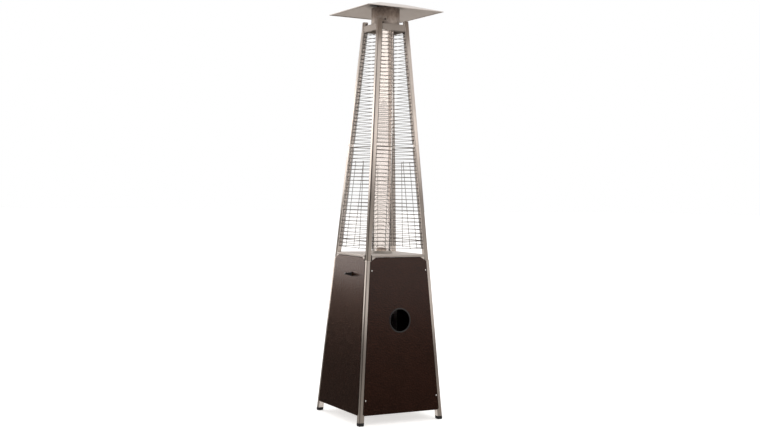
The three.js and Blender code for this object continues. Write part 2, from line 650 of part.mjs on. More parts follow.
function addReflector() {
  const top = REFLECTOR_TOP;
  const frustum = (rim, flat, bottom, height) => {
    const geometry = new THREE.CylinderGeometry(flat * Math.SQRT2, rim * Math.SQRT2, height, 4, 1, false, Math.PI / 4);
    return geometry.rotateX(Math.PI / 2).translate(0, 0, bottom + height / 2);
  };
  const rise = REFLECTOR_RISE;
  const outer = join(
    frustum(RIM_HALF, FLAT_HALF, RIM_HEIGHT, rise),
    boxBetween([-RIM_HALF, -RIM_HALF, RIM_HEIGHT - RIM_HEM], [RIM_HALF, RIM_HALF, RIM_HEIGHT + 0.01])
  );
  const inside = RIM_HALF - SHEET;
  const inner = join(
    frustum(inside, FLAT_HALF - 1, RIM_HEIGHT - SHEET, rise),
    boxBetween([-inside, -inside, RIM_HEIGHT - 40], [inside, inside, RIM_HEIGHT - SHEET + 0.01])
  );
  const studHoles = LEG_ANGLES.map((angle) => rod(3, top - 20, top + 20, 12).translate(STUD_CIRCLE, 0, 0).rotateZ(angle));
  add(heater, 'reflector', cut(outer, inner, ...studHoles), reflectorSteel);

  const strapTop = SCREEN_TOP - 1;
  const reach = Math.sqrt((SCREEN_RADIUS - 1.2 - GAP) ** 2 - 100) - 0.4;
  const under = top - SHEET - GAP;
  const pieces = LEG_ANGLES.flatMap((angle) => {
    const strap = boxBetween([-8, -10, strapTop - SHEET], [reach, 10, strapTop]);
    const leg = boxBetween([reach - SHEET, -10, SCREEN_BOTTOM + 14], [reach, 10, strapTop - 0.5]);
    const boss = rod(6, strapTop - 1, under, 12).translate(STUD_CIRCLE, 0, 0);
    const stud = rod(2.4, strapTop, top + NUT_HEIGHT - 0.6, 12).translate(STUD_CIRCLE, 0, 0);
    return [strap, leg, boss, stud].map((geometry) => geometry.rotateZ(angle));
  });
  add(heater, 'reflector_spider', join(...pieces), heatedSteel);

  LEG_ANGLES.forEach((angle, index) => {
    const nut = turned([[2.8, top + GAP], [6.5, top + GAP], [5.5, top + NUT_HEIGHT], [2.8, top + NUT_HEIGHT]], 6);
    add(heater, `reflector_nut_${index + 1}`, nut.translate(STUD_CIRCLE, 0, 0).rotateZ(angle), stainless);
  });
}

addPosts();
addPanels();
addHandHoleRing();
addDoor();
addTrays();
addTube();
addBurner();
addControl();
addPipes();
addGuards();
addScreen();
addReflector();

export default heater;
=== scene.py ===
import json
import math
import bmesh
import bpy
from mathutils import Matrix, Vector

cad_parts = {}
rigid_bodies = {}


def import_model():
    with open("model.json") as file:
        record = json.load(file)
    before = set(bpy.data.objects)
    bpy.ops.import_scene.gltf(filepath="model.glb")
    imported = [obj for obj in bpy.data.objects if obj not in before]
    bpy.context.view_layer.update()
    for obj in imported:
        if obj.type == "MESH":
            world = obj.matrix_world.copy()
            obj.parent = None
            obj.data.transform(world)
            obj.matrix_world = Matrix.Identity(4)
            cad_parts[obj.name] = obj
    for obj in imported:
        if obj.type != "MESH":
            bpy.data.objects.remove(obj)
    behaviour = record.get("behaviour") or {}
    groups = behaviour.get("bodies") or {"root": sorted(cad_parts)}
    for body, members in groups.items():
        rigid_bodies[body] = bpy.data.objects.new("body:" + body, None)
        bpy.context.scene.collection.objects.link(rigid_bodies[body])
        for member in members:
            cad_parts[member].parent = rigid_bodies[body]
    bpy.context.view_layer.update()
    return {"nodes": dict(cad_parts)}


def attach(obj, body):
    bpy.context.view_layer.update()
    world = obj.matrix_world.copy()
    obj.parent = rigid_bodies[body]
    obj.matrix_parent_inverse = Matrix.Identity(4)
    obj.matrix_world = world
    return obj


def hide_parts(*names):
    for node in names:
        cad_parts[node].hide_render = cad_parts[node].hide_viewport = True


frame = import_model()
print("frame loaded", len(frame["nodes"]), "nodes")

# Lengths in metres. Face space is x across a side, y up it, z outward from the post faces.
form = {"baseHalf": 0.2589, "topHalf": 0.09635, "postTop": 2.176}
taper = (form["baseHalf"] - form["topHalf"]) / form["postTop"]
sides = ["front", "right", "rear", "left"]
corners = ["front_right", "rear_right", "rear_left", "front_left"]


def halfAt(height):
    return form["baseHalf"] - taper * height


def quarter(point, turns):
    x, y, z = point
    for _ in range(turns % 4):
        x, y = -y, x
    return (x, y, z)


def onFace(turns, x, y, z):
    return quarter((x, -(halfAt(y) + z), y), turns)


def onCorner(turns, x, y, z, inset=0.0):  # inwards from the corner is -x and +y
    corner = form["baseHalf"] - inset - taper * z
    return quarter((corner + x, y - corner, z), turns)


def linked(name, data):
    obj = bpy.data.objects.new(name, data)
    bpy.context.scene.collection.objects.link(obj)
    return obj


def meshObject(name, verts, faces):
    mesh = bpy.data.meshes.new(name)
    mesh.from_pydata([tuple(v) for v in verts], [], faces)
    mesh.update()
    return linked(name, mesh)


def removed(obj):
    mesh = obj.data
    bpy.data.objects.remove(obj)
    if mesh.users == 0:
        bpy.data.meshes.remove(mesh)


def reshaped(obj, change):
    for vert in obj.data.vertices:
        vert.co = change(*vert.co)
    obj.data.update()
    return obj


def facingOut(obj, merge=1e-6):
    work = bmesh.new()
    work.from_mesh(obj.data)
    bmesh.ops.remove_doubles(work, verts=work.verts, dist=merge)
    bmesh.ops.recalc_face_normals(work, faces=work.faces)
    work.to_mesh(obj.data)
    work.free()
    return obj


def evaluated(obj, name):  # a plain mesh of what the modifiers make
    graph = bpy.context.evaluated_depsgraph_get()
    mesh = bpy.data.meshes.new_from_object(obj.evaluated_get(graph), depsgraph=graph)
    obj.modifiers.clear()
    mesh.name = name
    return mesh


def settle(obj):
    old = obj.data
    obj.data = evaluated(obj, obj.name)
    if old.users == 0:
        bpy.data.meshes.remove(old)
    return obj


def sharpen(obj, angle=40):
    obj.data.polygons.foreach_set("use_smooth", [True] * len(obj.data.polygons))
    obj.data.set_sharp_from_angle(angle=math.radians(angle))
    return obj


def bevelled(obj, width, segments=2, angle=35):
    mod = obj.modifiers.new("soften", "BEVEL")
    mod.width = width
    mod.segments = segments
    mod.limit_method = "ANGLE"
    mod.angle_limit = math.radians(angle)
    return sharpen(settle(obj))


def steadied(obj, area=0.0008, keep=1e-4):  # big flat faces keep their own normal
    work = bmesh.new()
    work.from_mesh(obj.data)
    for edge in work.edges:
        if len(edge.link_faces) == 2 and max(f.calc_area() for f in edge.link_faces) > area:
            edge.smooth = edge.calc_face_angle(0) < keep
    work.to_mesh(obj.data)
    work.free()
    return obj


def turned(name, profile, segments=96, closed=True):  # radius and height pairs round Z
    verts, rings, faces = [], [], []
    for radius, height in profile:
        count = segments if radius > 1e-7 else 1
        rings.append([len(verts) + step for step in range(count)])
        for step in range(count):
            a = 2 * math.pi * step / segments
            verts.append((radius * math.cos(a), radius * math.sin(a), height))
    for low, high in zip(rings, rings[1:] + rings[:1] if closed else rings[1:]):
        for step in range(segments):
            after = (step + 1) % segments
            face = [low[step % len(low)], low[after % len(low)],
                    high[after % len(high)], high[step % len(high)]]
            face = list(dict.fromkeys(face))
            if len(face) > 2:
                faces.append(face)
    return sharpen(facingOut(meshObject(name, verts, faces)))


def block(name, low, high):  # a box between two corners
    mid = [(a + b) / 2 for a, b in zip(low, high)]
    size = [b - a for a, b in zip(low, high)]
    work = bmesh.new()
    bmesh.ops.create_cube(work, size=1, matrix=Matrix.Translation(mid) @ Matrix.Diagonal((*size, 1)))
    mesh = bpy.data.meshes.new(name)
    work.to_mesh(mesh)
    work.free()
    return linked(name, mesh)


def loft(name, rings, loop=False):  # joins equal rings; a loop closes back on its first ring
    count = len(rings[0])
    faces = []
    for low in range(len(rings) if loop else len(rings) - 1):
        high = (low + 1) % len(rings)
        for step in range(count):
            after = (step + 1) % count
            faces.append([low * count + step, low * count + after, high * count + after, high * count + step])
    if not loop:
        faces.append(list(range(count))[::-1])
        faces.append([(len(rings) - 1) * count + step for step in range(count)])
    return facingOut(meshObject(name, [point for ring in rings for point in ring], faces))


def joined(name, parts):
    work = bmesh.new()
    mats = []
    for part in parts:
        first = len(work.faces)
        work.from_mesh(part.data)
        own = part.data.materials
        mats += [mat for mat in own if mat not in mats]
        work.faces.ensure_lookup_table()
        for face in work.faces[first:] if own else []:
            face.material_index = mats.index(own[min(face.material_index, len(own) - 1)])
    mesh = bpy.data.meshes.new(name)
    work.to_mesh(mesh)
    work.free()
    for mat in mats:
        mesh.materials.append(mat)
    for part in parts:
        removed(part)
    return linked(name, mesh)


def drilled(obj, *cutters):
    for cutter in cutters:
        mod = obj.modifiers.new("drill", "BOOLEAN")
        mod.operation = "DIFFERENCE"
        mod.solver = "EXACT"
        mod.object = cutter
        settle(obj)
        removed(cutter)
    return obj


def drill(radius, x, y, low=-0.02, high=0.02, segments=72):
    tool = turned("drill", [(0, low), (radius, low), (radius, high), (0, high)], segments, closed=False)
    tool.data.transform(Matrix.Translation((x, y, 0)))
    return tool


def roundedRing(size, radii, segments=6, offset=0.0):  # a square section, walked anticlockwise
    points = []
    low, high = offset, size - offset
    for index, (x, y) in enumerate(((low, low), (high, low), (high, high), (low, high))):
        r = max(radii[index] - offset, 0.0004)
        midX = x + r if x == low else x - r
        midY = y + r if y == low else y - r
        for step in range(segments + 1):
            a = math.pi + (index + step / segments) * math.pi / 2
            points.append((midX + r * math.cos(a), midY + r * math.sin(a)))
    return points


def handOver(obj, body, slotName, *nodes):
    if nodes:
        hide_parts(*nodes)
    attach(obj, body)


# Finishes. Every pattern reads Object coordinates, in metres.
def feed(tree, node, inputs):  # sockets are linked, plain values are set
    for key, value in inputs.items():
        if isinstance(value, bpy.types.NodeSocket):
            tree.links.new(value, node.inputs[key])
        else:
            node.inputs[key].default_value = value
    return node


def put(tree, kind, inputs=None, **settings):
    node = tree.nodes.new(kind)
    for key, value in settings.items():
        setattr(node, key, value)
    return feed(tree, node, inputs or {})


def finishNodes(name):
    mat = bpy.data.materials.new(name)
    mat.use_nodes = True
    tree = mat.node_tree
    shader = next(n for n in tree.nodes if n.type == "BSDF_PRINCIPLED")
    return mat, tree, shader, put(tree, "ShaderNodeTexCoord").outputs["Object"]


def mapped(tree, coords, scale):
    return put(tree, "ShaderNodeMapping", {"Vector": coords, "Scale": scale}).outputs["Vector"]


def noise(tree, coords, scale, detail=3, rough=0.55):
    ins = {"Vector": coords, "Scale": scale, "Detail": detail, "Roughness": rough}
    return put(tree, "ShaderNodeTexNoise", ins).outputs["Fac"]


def ramp(tree, value, stops):
    node = put(tree, "ShaderNodeValToRGB", {"Fac": value})
    while len(node.color_ramp.elements) < len(stops):
        node.color_ramp.elements.new(0.5)
    for element, (place, colour) in zip(node.color_ramp.elements, stops):
        element.position = place
        element.color = (*colour, 1)
    return node.outputs["Color"]


def spread(tree, value, low, high, fromLow=0.3, fromHigh=0.7):
    ins = {"Value": value, "From Min": fromLow, "From Max": fromHigh, "To Min": low, "To Max": high}
    return put(tree, "ShaderNodeMapRange", ins).outputs["Result"]


def bump(tree, height, strength, distance):
    ins = {"Height": height, "Strength": strength, "Distance": distance}
    return put(tree, "ShaderNodeBump", ins).outputs["Normal"]


def multiplied(tree, first, second):
    ins = {"Factor": 1.0, 6: first, 7: second}
    return put(tree, "ShaderNodeMix", ins, data_type="RGBA", blend_type="MULTIPLY").outputs[2]


def heightOf(tree, coords):
    return put(tree, "ShaderNodeSeparateXYZ", {"Vector": coords}).outputs["Z"]


def scaledUp(tree, value, factor, base):
    return put(tree, "ShaderNodeMath", {0: value, 1: factor, 2: base}, operation="MULTIPLY_ADD").outputs[0]


hammeredLook = {"dark": (0.017, 0.0046, 0.0018), "light": (0.037, 0.0136, 0.0076), "metallic": 0.85,
                "rough": (0.26, 0.36), "edge": (1.0, 0.84, 0.76), "dimple": 130.0, "depth": 0.0024,
                "strength": 0.6, "coat": 1.0, "coatIor": 1.25, "coatRough": 0.19}


def hammeredBronze():
    look = hammeredLook
    mat, tree, shader, coords = finishNodes("hammeredBronze")
    fleck = noise(tree, coords, 900, 2)
    tone = ramp(tree, fleck, [(0.35, look["dark"]), (0.75, look["light"])])
    soft = ramp(tree, noise(tree, coords, 14), [(0.3, (0.86, 0.86, 0.86)), (0.7, (1.08, 1.06, 1.05))])
    dimples = {"Vector": coords, "Scale": look["dimple"], "Smoothness": 0.7}
    cells = put(tree, "ShaderNodeTexVoronoi", dimples, feature="SMOOTH_F1").outputs["Distance"]
    feed(tree, shader, {
        "Base Color": multiplied(tree, tone, soft), "Roughness": spread(tree, fleck, *look["rough"]),
        "Normal": bump(tree, cells, look["strength"], look["depth"]), "Metallic": look["metallic"],
        "Specular Tint": (*look["edge"], 1), "Coat Weight": look["coat"], "Coat IOR": look["coatIor"],
        "Coat Roughness": look["coatRough"]})
    return mat


def brushedSteel(name, tone, rough=(0.24, 0.34), grain=(1400, 1400, 12), metallic=1.0, wear=0.10,
                 depth=0.00006):
    mat, tree, shader, coords = finishNodes(name)
    lines = noise(tree, mapped(tree, coords, grain), 1.0)
    low, high = (tuple(min(c * share, 1) for c in tone) for share in (1 - wear, 1 + wear))
    streak = ramp(tree, lines, [(0.3, low), (0.7, high)])
    patch = ramp(tree, noise(tree, coords, 9, 4), [(0.25, (0.9, 0.885, 0.87)), (0.7, (1.04, 1.04, 1.04))])
    feed(tree, shader, {
        "Base Color": multiplied(tree, streak, patch), "Roughness": spread(tree, lines, *rough),
        "Normal": bump(tree, lines, 0.25, depth), "Metallic": metallic})
    return mat


# colour of the screen from bottom to top: heat tint together with painted shade under the reflector
heatAndShadeLook = {"low": 2.150, "high": 2.247, "metallic": 0.35, "rough": (0.4, 0.58), "stops": [
    (0.05, (0.52, 0.455, 0.41)), (0.36, (0.41, 0.345, 0.30)),
    (0.60, (0.25, 0.193, 0.157)), (0.86, (0.105, 0.075, 0.058))]}


def heatedSteel():  # darker the nearer it is to the reflector: partly heat tint, partly painted shade under the reflector
    look = heatAndShadeLook
    mat, tree, shader, coords = finishNodes("heatedSteel")
    # painted shade and heat tint together: the colour darkens towards the top of the screen, under the
    # reflector
    up = spread(tree, heightOf(tree, coords), -0.22, 0.52, look["low"], look["high"])
    cloud = noise(tree, mapped(tree, coords, (46, 46, 34)), 1.0, 5, 0.7)
    feed(tree, shader, {
        "Base Color": ramp(tree, scaledUp(tree, cloud, 0.75, up), look["stops"]),
        "Roughness": spread(tree, cloud, *look["rough"]), "Metallic": look["metallic"],
        "Normal": bump(tree, noise(tree, coords, 420), 0.3, 0.0002)})
    return mat


def mouldedFinish(name, tone, rough=(0.42, 0.55), scale=700, strength=0.25, spec=0.5, metallic=0.0):
    mat, tree, shader, coords = finishNodes(name)
    grain = noise(tree, coords, scale)
    low, high = (tuple(min(c * share, 1) for c in tone) for share in (0.85, 1.18))
    feed(tree, shader, {
        "Base Color": ramp(tree, noise(tree, coords, 22), [(0.3, low), (0.7, high)]),
        "Roughness": spread(tree, grain, *rough), "Normal": bump(tree, grain, strength, 0.0002),
        "Specular IOR Level": spec, "Metallic": metallic})
    return mat


glassLook = {"tint": (0.985, 0.935, 0.902), "paleTint": (1.0, 0.954, 0.92),
             "ior": 1.22, "rough": 0.0, "clear": 0.94}


def flameGlass():
    mat, tree, shader, coords = finishNodes("flameGlass")
    cloud = noise(tree, mapped(tree, coords, (9, 9, 2)), 1.0)
    feed(tree, shader, {
        "Base Color": ramp(tree, cloud, [(0.3, glassLook["tint"]), (0.75, glassLook["paleTint"])]),
        "Roughness": glassLook["rough"], "IOR": glassLook["ior"], "Transmission Weight": glassLook["clear"]})
    return mat


scorchLook = {"reach": (0.095, 0.150), "metallic": 0.9, "rough": (0.36, 0.5), "stops": [
    (0.0, (0.012, 0.008, 0.006)), (0.22, (0.03, 0.021, 0.016)),
    (0.55, (0.36, 0.315, 0.28)), (1.0, (0.55, 0.495, 0.455))]}


def scorchedUnderside():  # heat tint spreading from the middle
    look = scorchLook
    mat, tree, shader, coords = finishNodes("reflectorUnder")
    flat = mapped(tree, coords, (1, 1, 0))
    reach = put(tree, "ShaderNodeVectorMath", {0: flat}, operation="LENGTH").outputs["Value"]
    cloud = noise(tree, mapped(tree, coords, (16, 16, 16)), 1.0, 4, 0.6)
    stain = spread(tree, scaledUp(tree, cloud, 0.05, reach), 0.0, 1.0, *look["reach"])
    lines = noise(tree, mapped(tree, coords, (10, 900, 900)), 1.0)
    feed(tree, shader, {
        "Base Color": ramp(tree, stain, look["stops"]), "Roughness": spread(tree, cloud, *look["rough"]),
        "Metallic": look["metallic"], "Normal": bump(tree, lines, 0.2, 0.00006)})
    return mat


steels = {  # tone, roughness, grain; then metallic, wear and depth where they differ
    "postSteel": ((0.58, 0.52, 0.475), (0.28, 0.38), (1500, 1500, 10)),
    # painted shade: the lower posts get a darker copy of the post steel, toning down their highlight
    "lowerSteel": ((0.43, 0.385, 0.35), (0.36, 0.46), (1500, 1500, 10)),
    # painted shade: a copy of the post steel for the inner faces, toned to stand in for the shade inside the
    # posts
    "postInside": ((0.86, 0.79, 0.735), (0.38, 0.5), (900, 900, 10), 0.4),
    "wireSteel": ((0.31, 0.28, 0.258), (0.3, 0.42), (900, 900, 900)),
    # painted shade: a darker copy of the wire steel for the wire ends turned in beside the posts
    "wireEnds": ((0.16, 0.132, 0.113), (0.4, 0.52), (900, 900, 900), 0.7),
    "plainSteel": ((0.60, 0.56, 0.53), (0.25, 0.36), (14, 1400, 1400)),
    "trayRimSteel": ((0.50, 0.455, 0.42), (0.3, 0.42), (300, 300, 900)),
    "reflectorSteel": ((0.74, 0.69, 0.655), (0.34, 0.46), (10, 900, 900), 0.8, 0.05),
    "deckSteel": ((0.76, 0.70, 0.655), (0.4, 0.5), (40, 1200, 1200), 0.3, 0.04, 0.00003),
    "headSteel": ((0.38, 0.335, 0.30), (0.52, 0.62), (200, 200, 700), 0.7),
    "burnerSteel": ((0.50, 0.42, 0.36), (0.3, 0.45), (300, 300, 300), 0.9),
    "brightScrew": ((0.82, 0.80, 0.78), (0.16, 0.26), (700, 700, 700)),
    "brassFinish": ((0.62, 0.42, 0.16), (0.25, 0.38), (500, 500, 900)),
    "pipeFinish": ((0.66, 0.67, 0.68), (0.28, 0.4), (200, 200, 200)),
    "copperFinish": ((0.60, 0.30, 0.17), (0.3, 0.42), (400, 400, 400)),
}
mouldings = {  # tone, roughness, grain and its strength; then specular and metallic where they differ
    "footRubber": ((0.014, 0.012, 0.012), (0.6, 0.8), 900, 0.4, 0.35),
    "blackPlastic": ((0.012, 0.010, 0.010), (0.34, 0.5), 1100, 0.2),
    "ringPlastic": ((0.010, 0.0085, 0.008), (0.36, 0.5), 1100, 0.2),
    "seatFinish": ((0.46, 0.42, 0.38), (0.4, 0.55), 600, 0.3, 0.4, 0.5),
    "sealRubber": ((0.03, 0.028, 0.028), (0.55, 0.7), 600, 0.4, 0.35),
    "blackScrew": ((0.02, 0.018, 0.018), (0.3, 0.42), 900, 0.2, 0.5, 0.6),
    "castFinish": ((0.40, 0.39, 0.38), (0.42, 0.6), 350, 0.5, 0.5, 0.9),
    "ceramicFinish": ((0.78, 0.76, 0.72), (0.16, 0.26), 300, 0.1),
}
finish = {name: brushedSteel(name, *values) for name, values in steels.items()}
finish.update({name: mouldedFinish(name, *values) for name, values in mouldings.items()})
finish.update(bronze=hammeredBronze(), burntSteel=heatedSteel(),
              glass=flameGlass(), reflectorUnder=scorchedUnderside())
print("finishes made")


def dress(obj, *names):
    obj.data.materials.clear()
    for name in names:
        obj.data.materials.append(finish[name])
    return obj


nodeFinish = {  # each finish and the starts of the names of the nodes that have it
    "postSteel": "lower_post upper_post", "bronze": "front_panel right_panel left_panel rear_door",
    "ringPlastic": "hand_hole_ring", "blackPlastic": "door_magnet tip_switch control_knob",
    "plainSteel": "door_hinge tube_collar burner_plate control_bracket push_collar reflector_nut",
    "trayRimSteel": "base_tray burner_deck fixing_tray", "sealRubber": "tube_seat", "glass": "glass_tube",
    "castFinish": "burner_mixer gas_valve", "burntSteel": "burner_head flame_screen reflector_spider",
    "brassFinish": "gas_jet pilot_burner valve_inlet valve_spindle", "ceramicFinish": "spark_electrode",
    "pipeFinish": "feed_pipe pilot_pipe", "copperFinish": "thermocouple", "footRubber": "foot_cap",
    "wireSteel": "lower_guard upper_guard", "reflectorSteel": "reflector",
}
starts = {start: name for name, group in nodeFinish.items() for start in group.split()}
for node, obj in frame["nodes"].items():
    dress(obj, starts[max((start for start in starts if node.startswith(start)), key=len)])


class Tree:  # a geometry node tree with named inputs
    def __init__(self, name, inputs):
        self.group = bpy.data.node_groups.new(name, "GeometryNodeTree")
        outside = self.group.interface
        outside.new_socket("Geometry", in_out="INPUT", socket_type="NodeSocketGeometry")
        outside.new_socket("Geometry", in_out="OUTPUT", socket_type="NodeSocketGeometry")
        self.ids = {label: outside.new_socket(label, in_out="INPUT", socket_type="NodeSocket" + kind).identifier
                    for label, kind in inputs.items()}
        self.given = self.group.nodes.new("NodeGroupInput")
        self.out = self.group.nodes.new("NodeGroupOutput")

    def __getitem__(self, label):
        return self.given.outputs[label]

    def node(self, kind, inputs=None, **settings):
        return put(self.group, kind, inputs, **settings)

    def math(self, operation, *values):
        return self.node("ShaderNodeMath", dict(enumerate(values)), operation=operation).outputs[0]

    def times(self, first, second):
        return self.math("MULTIPLY", first, second)

    def plus(self, first, second):
        return self.math("ADD", first, second)

    def less(self, first, second):
        return self.math("SUBTRACT", first, second)

    def vec(self, x=0.0, y=0.0, z=0.0):
        return self.node("ShaderNodeCombineXYZ", {"X": x, "Y": y, "Z": z}).outputs[0]

    def line(self, start, end):
        return self.node("GeometryNodeCurvePrimitiveLine", {"Start": start, "End": end}).outputs[0]

    def curve(self, start, startHandle, endHandle, end, steps):
        ins = {"Start": start, "Start Handle": startHandle, "End Handle": endHandle,
               "End": end, "Resolution": steps}
        return self.node("GeometryNodeCurvePrimitiveBezierSegment", ins, mode="POSITION").outputs[0]

    def swept(self, path, ring):
        return self.node("GeometryNodeCurveToMesh", {0: path, 1: ring, "Fill Caps": True}).outputs[0]

    def together(self, *pieces):
        join = self.node("GeometryNodeJoinGeometry")
        for piece in pieces:
            self.group.links.new(piece, join.inputs[0])
        return join.outputs[0]

    def placed(self, points, piece, **more):
        ins = {"Points": points, "Instance": piece, **more}
        return self.node("GeometryNodeInstanceOnPoints", ins).outputs[0]

    def painted(self, geometry, material, only=True):
        ins = {"Geometry": geometry, "Selection": only, "Material": material}
        return self.node("GeometryNodeSetMaterial", ins).outputs[0]

    def end(self, geometry, material, kept=None):  # faces of the kept material stay as they are
        real = self.node("GeometryNodeRealizeInstances", {0: geometry}).outputs[0]
        only = True
        if kept:
            chosen = self.node("GeometryNodeMaterialSelection", {"Material": kept}).outputs[0]
            only = self.node("FunctionNodeBooleanMath", {0: chosen}, operation="NOT").outputs[0]
        self.group.links.new(self.painted(real, material, only), self.out.inputs[0])


def grown(name, tree, values, seed=None):  # runs a node tree and keeps its result as a plain mesh
    obj = seed or meshObject(name + "Seed", [(0, 0, 0)], [])
    mod = obj.modifiers.new("grow", "NODES")
    mod.node_group = tree.group
    for label, value in values.items():
        mod[tree.ids[label]] = value
    mesh = evaluated(obj, name)
    removed(obj)
    return linked(name, mesh)


# Wire guards: rows of wire, their ends turned in beside the posts, on side rods.
guardSizes = {"wire": 0.0029, "pitch": 0.0204, "inset": 0.0055, "fromPost": 0.0292, "turnIn": 0.017,
              "heavy": 1.6,
              "endSize": 1.3, "upLow": 0.078, "upHigh": 0.045,
              "lower": {"bottom": 0.930, "rows": 28, "heavyRows": (2, 27), "upRows": 24},
              "upper": {"bottom": 1.5012, "rows": 31, "heavyRows": (-5, -5), "upRows": 0}}


def guardTree():
    tree = Tree("guardWires", {
        "Rows": "Int", "Bottom": "Float", "Pitch": "Float", "Wire": "Float",
        "Heavy": "Float", "Heavy row A": "Int",
        "Heavy row B": "Int", "Edge at ground": "Float", "Taper": "Float", "Turn in": "Float",
        "Upright low": "Float", "Upright high": "Float", "Upright rows": "Int", "End size": "Float",
        "Finish": "Material", "End finish": "Material"})
    wire, pitch, bottom = tree["Wire"], tree["Pitch"], tree["Bottom"]

    def edgeAt(height):
        return tree.less(tree["Edge at ground"], tree.times(height, tree["Taper"]))

    half = tree.times(wire, 0.5)
    first = tree.plus(bottom, half)
    back = tree.times(tree["Turn in"], -1.0)
    behind = tree.times(wire, -1.0)
    rows = {"Count": tree["Rows"], "Start Location": tree.vec(y=first), "Offset": tree.vec(y=pitch)}
    line = tree.node("GeometryNodeMeshLine", rows, mode="OFFSET").outputs[0]
    place = tree.node("GeometryNodeInputPosition").outputs[0]
    edge = edgeAt(tree.node("ShaderNodeSeparateXYZ", {0: place}).outputs[1])
    index = tree.node("GeometryNodeInputIndex").outputs[0]
    isHeavy = [tree.math("COMPARE", index, tree[label], 0.5) for label in ("Heavy row A", "Heavy row B")]
    thick = tree.plus(tree.times(tree.math("MAXIMUM", *isHeavy), tree.less(tree["Heavy"], 1.0)), 1.0)
    # the straight middle of each wire
    rod = tree.node("GeometryNodeMeshCylinder", {"Vertices": 10, "Radius": half, "Depth": 1.0}).outputs[0]
    rod = tree.node("GeometryNodeTransform", {"Geometry": rod, "Rotation": (0, math.pi / 2, 0)}).outputs[0]
    wide = tree.times(tree.less(edge, 0.002), 2.0)
    parts, turnIns = [tree.placed(line, rod, Scale=tree.vec(wide, thick, thick))], []
    ring = tree.node("GeometryNodeCurvePrimitiveCircle", {"Resolution": 8, "Radius": half}).outputs[0]
    stout = tree.vec(tree["End size"], tree["End size"], 1.0)
    knuckle = tree.node("GeometryNodeTransform", {"Geometry": ring, "Scale": stout}).outputs[0]
    top = tree.plus(tree.plus(bottom, tree.times(tree.less(tree["Rows"], 1), pitch)), wire)
    rise = tree.times(tree.less(tree["Upright rows"], 1), pitch)
    for hand in (-1.0, 1.0):
        # the end of each wire bends inward along the post
        arc = tree.curve((-hand * 0.0035, 0, 0), (0, 0, 0), (0, 0, 0), (0, 0, -0.0035), 5)
        hook = tree.swept(tree.together(arc, tree.line((0, 0, -0.0033), tree.vec(z=back))), knuckle)
        aside = {"Geometry": line, "Offset": tree.vec(tree.times(edge, hand))}
        ends = tree.node("GeometryNodeSetPosition", aside).outputs[0]
        turnIns.append(tree.placed(ends, hook, Scale=tree.vec(1.0, thick, 1.0)))
        # side rods, one at the turned-in ends and one at the face
        for depth in (back, tree.times(wire, -1.1)):
            tips = []
            for y in (bottom, top):
                x = tree.less(edgeAt(y), tree.times(wire, 0.9))
                tips.append(tree.vec(tree.times(x, hand), y, depth))
            parts.append(tree.swept(tree.line(*tips), ring))
        # splayed uprights with hooked ends
        tips = [(tree.times(tree["Upright low"], hand), first, -1.2),
                (tree.times(tree["Upright high"], hand), tree.plus(first, rise), 1.2)]
        bits = [tree.line(*(tree.vec(x, y, behind) for x, y, way in tips))]
        for x, y, way in tips:
            beyond = tree.plus(y, tree.times(wire, way))
            route = [tree.vec(x, *yz) for yz in ((y, behind), (beyond, behind), (beyond, wire), (y, wire))]
            bits.append(tree.curve(*route, 6))
        shown = {"Switch": tree.math("GREATER_THAN", tree["Upright rows"], 1.5),
                 "True": tree.swept(tree.together(*bits), ring)}
        parts.append(tree.node("GeometryNodeSwitch", shown, input_type="GEOMETRY").outputs[0])
    # the turned-in ends take the darker, painted-shade end finish
    dressed = [tree.painted(tree.together(*pieces), tree[label])
               for pieces, label in ((parts, "Finish"), (turnIns, "End finish"))]
    shaded = tree.node("GeometryNodeSetShadeSmooth", {"Geometry": tree.together(*dressed)}).outputs[0]
    tree.end(shaded, tree["Finish"], tree["End finish"])
    return tree


def leanOnto(obj, turns, inset=0.0):  # face space to the heater's own space
    return reshaped(obj, lambda x, y, z: onFace(turns, x, y, z - inset))


def makeGuard(tree, level, turns):
    spec, own = guardSizes, guardSizes[level]
    values = {"Rows": own["rows"], "Bottom": own["bottom"], "Pitch": spec["pitch"], "Wire": spec["wire"],
              "Heavy": spec["heavy"], "Heavy row A": own["heavyRows"][0], "Heavy row B": own["heavyRows"][1],
              "Edge at ground": form["baseHalf"] - spec["fromPost"], "Taper": taper, "Turn in": spec["turnIn"],
              "Upright low": spec["upLow"], "Upright high": spec["upHigh"], "Upright rows": own["upRows"],
              "End size": spec["endSize"], "Finish": finish["wireSteel"], "End finish": finish["wireEnds"]}
    guard = leanOnto(grown(f"guard_wires_{level}_{sides[turns]}", tree, values), turns, spec["inset"])
    handOver(facingOut(guard, 1e-7), "frame", "wire_steel", f"{level}_guard_{sides[turns]}")


guards = guardTree()
for turns in range(4):
    for level in ("lower", "upper"):
        makeGuard(guards, level, turns)
print("guards made")

# the lower posts take the darker, painted-shade copy of the post steel
postSizes = {"lower": {"size": 0.030, "inset": 0.0, "low": 0.010, "high": 0.869, "finish": "lowerSteel"},
             "upper": {"size": 0.025, "inset": 0.002, "low": 0.809, "high": 2.176, "finish": "postSteel"},
             "radii": (0.006, 0.0028, 0.0028, 0.0028), "wall": 0.0015, "lip": 0.0004}


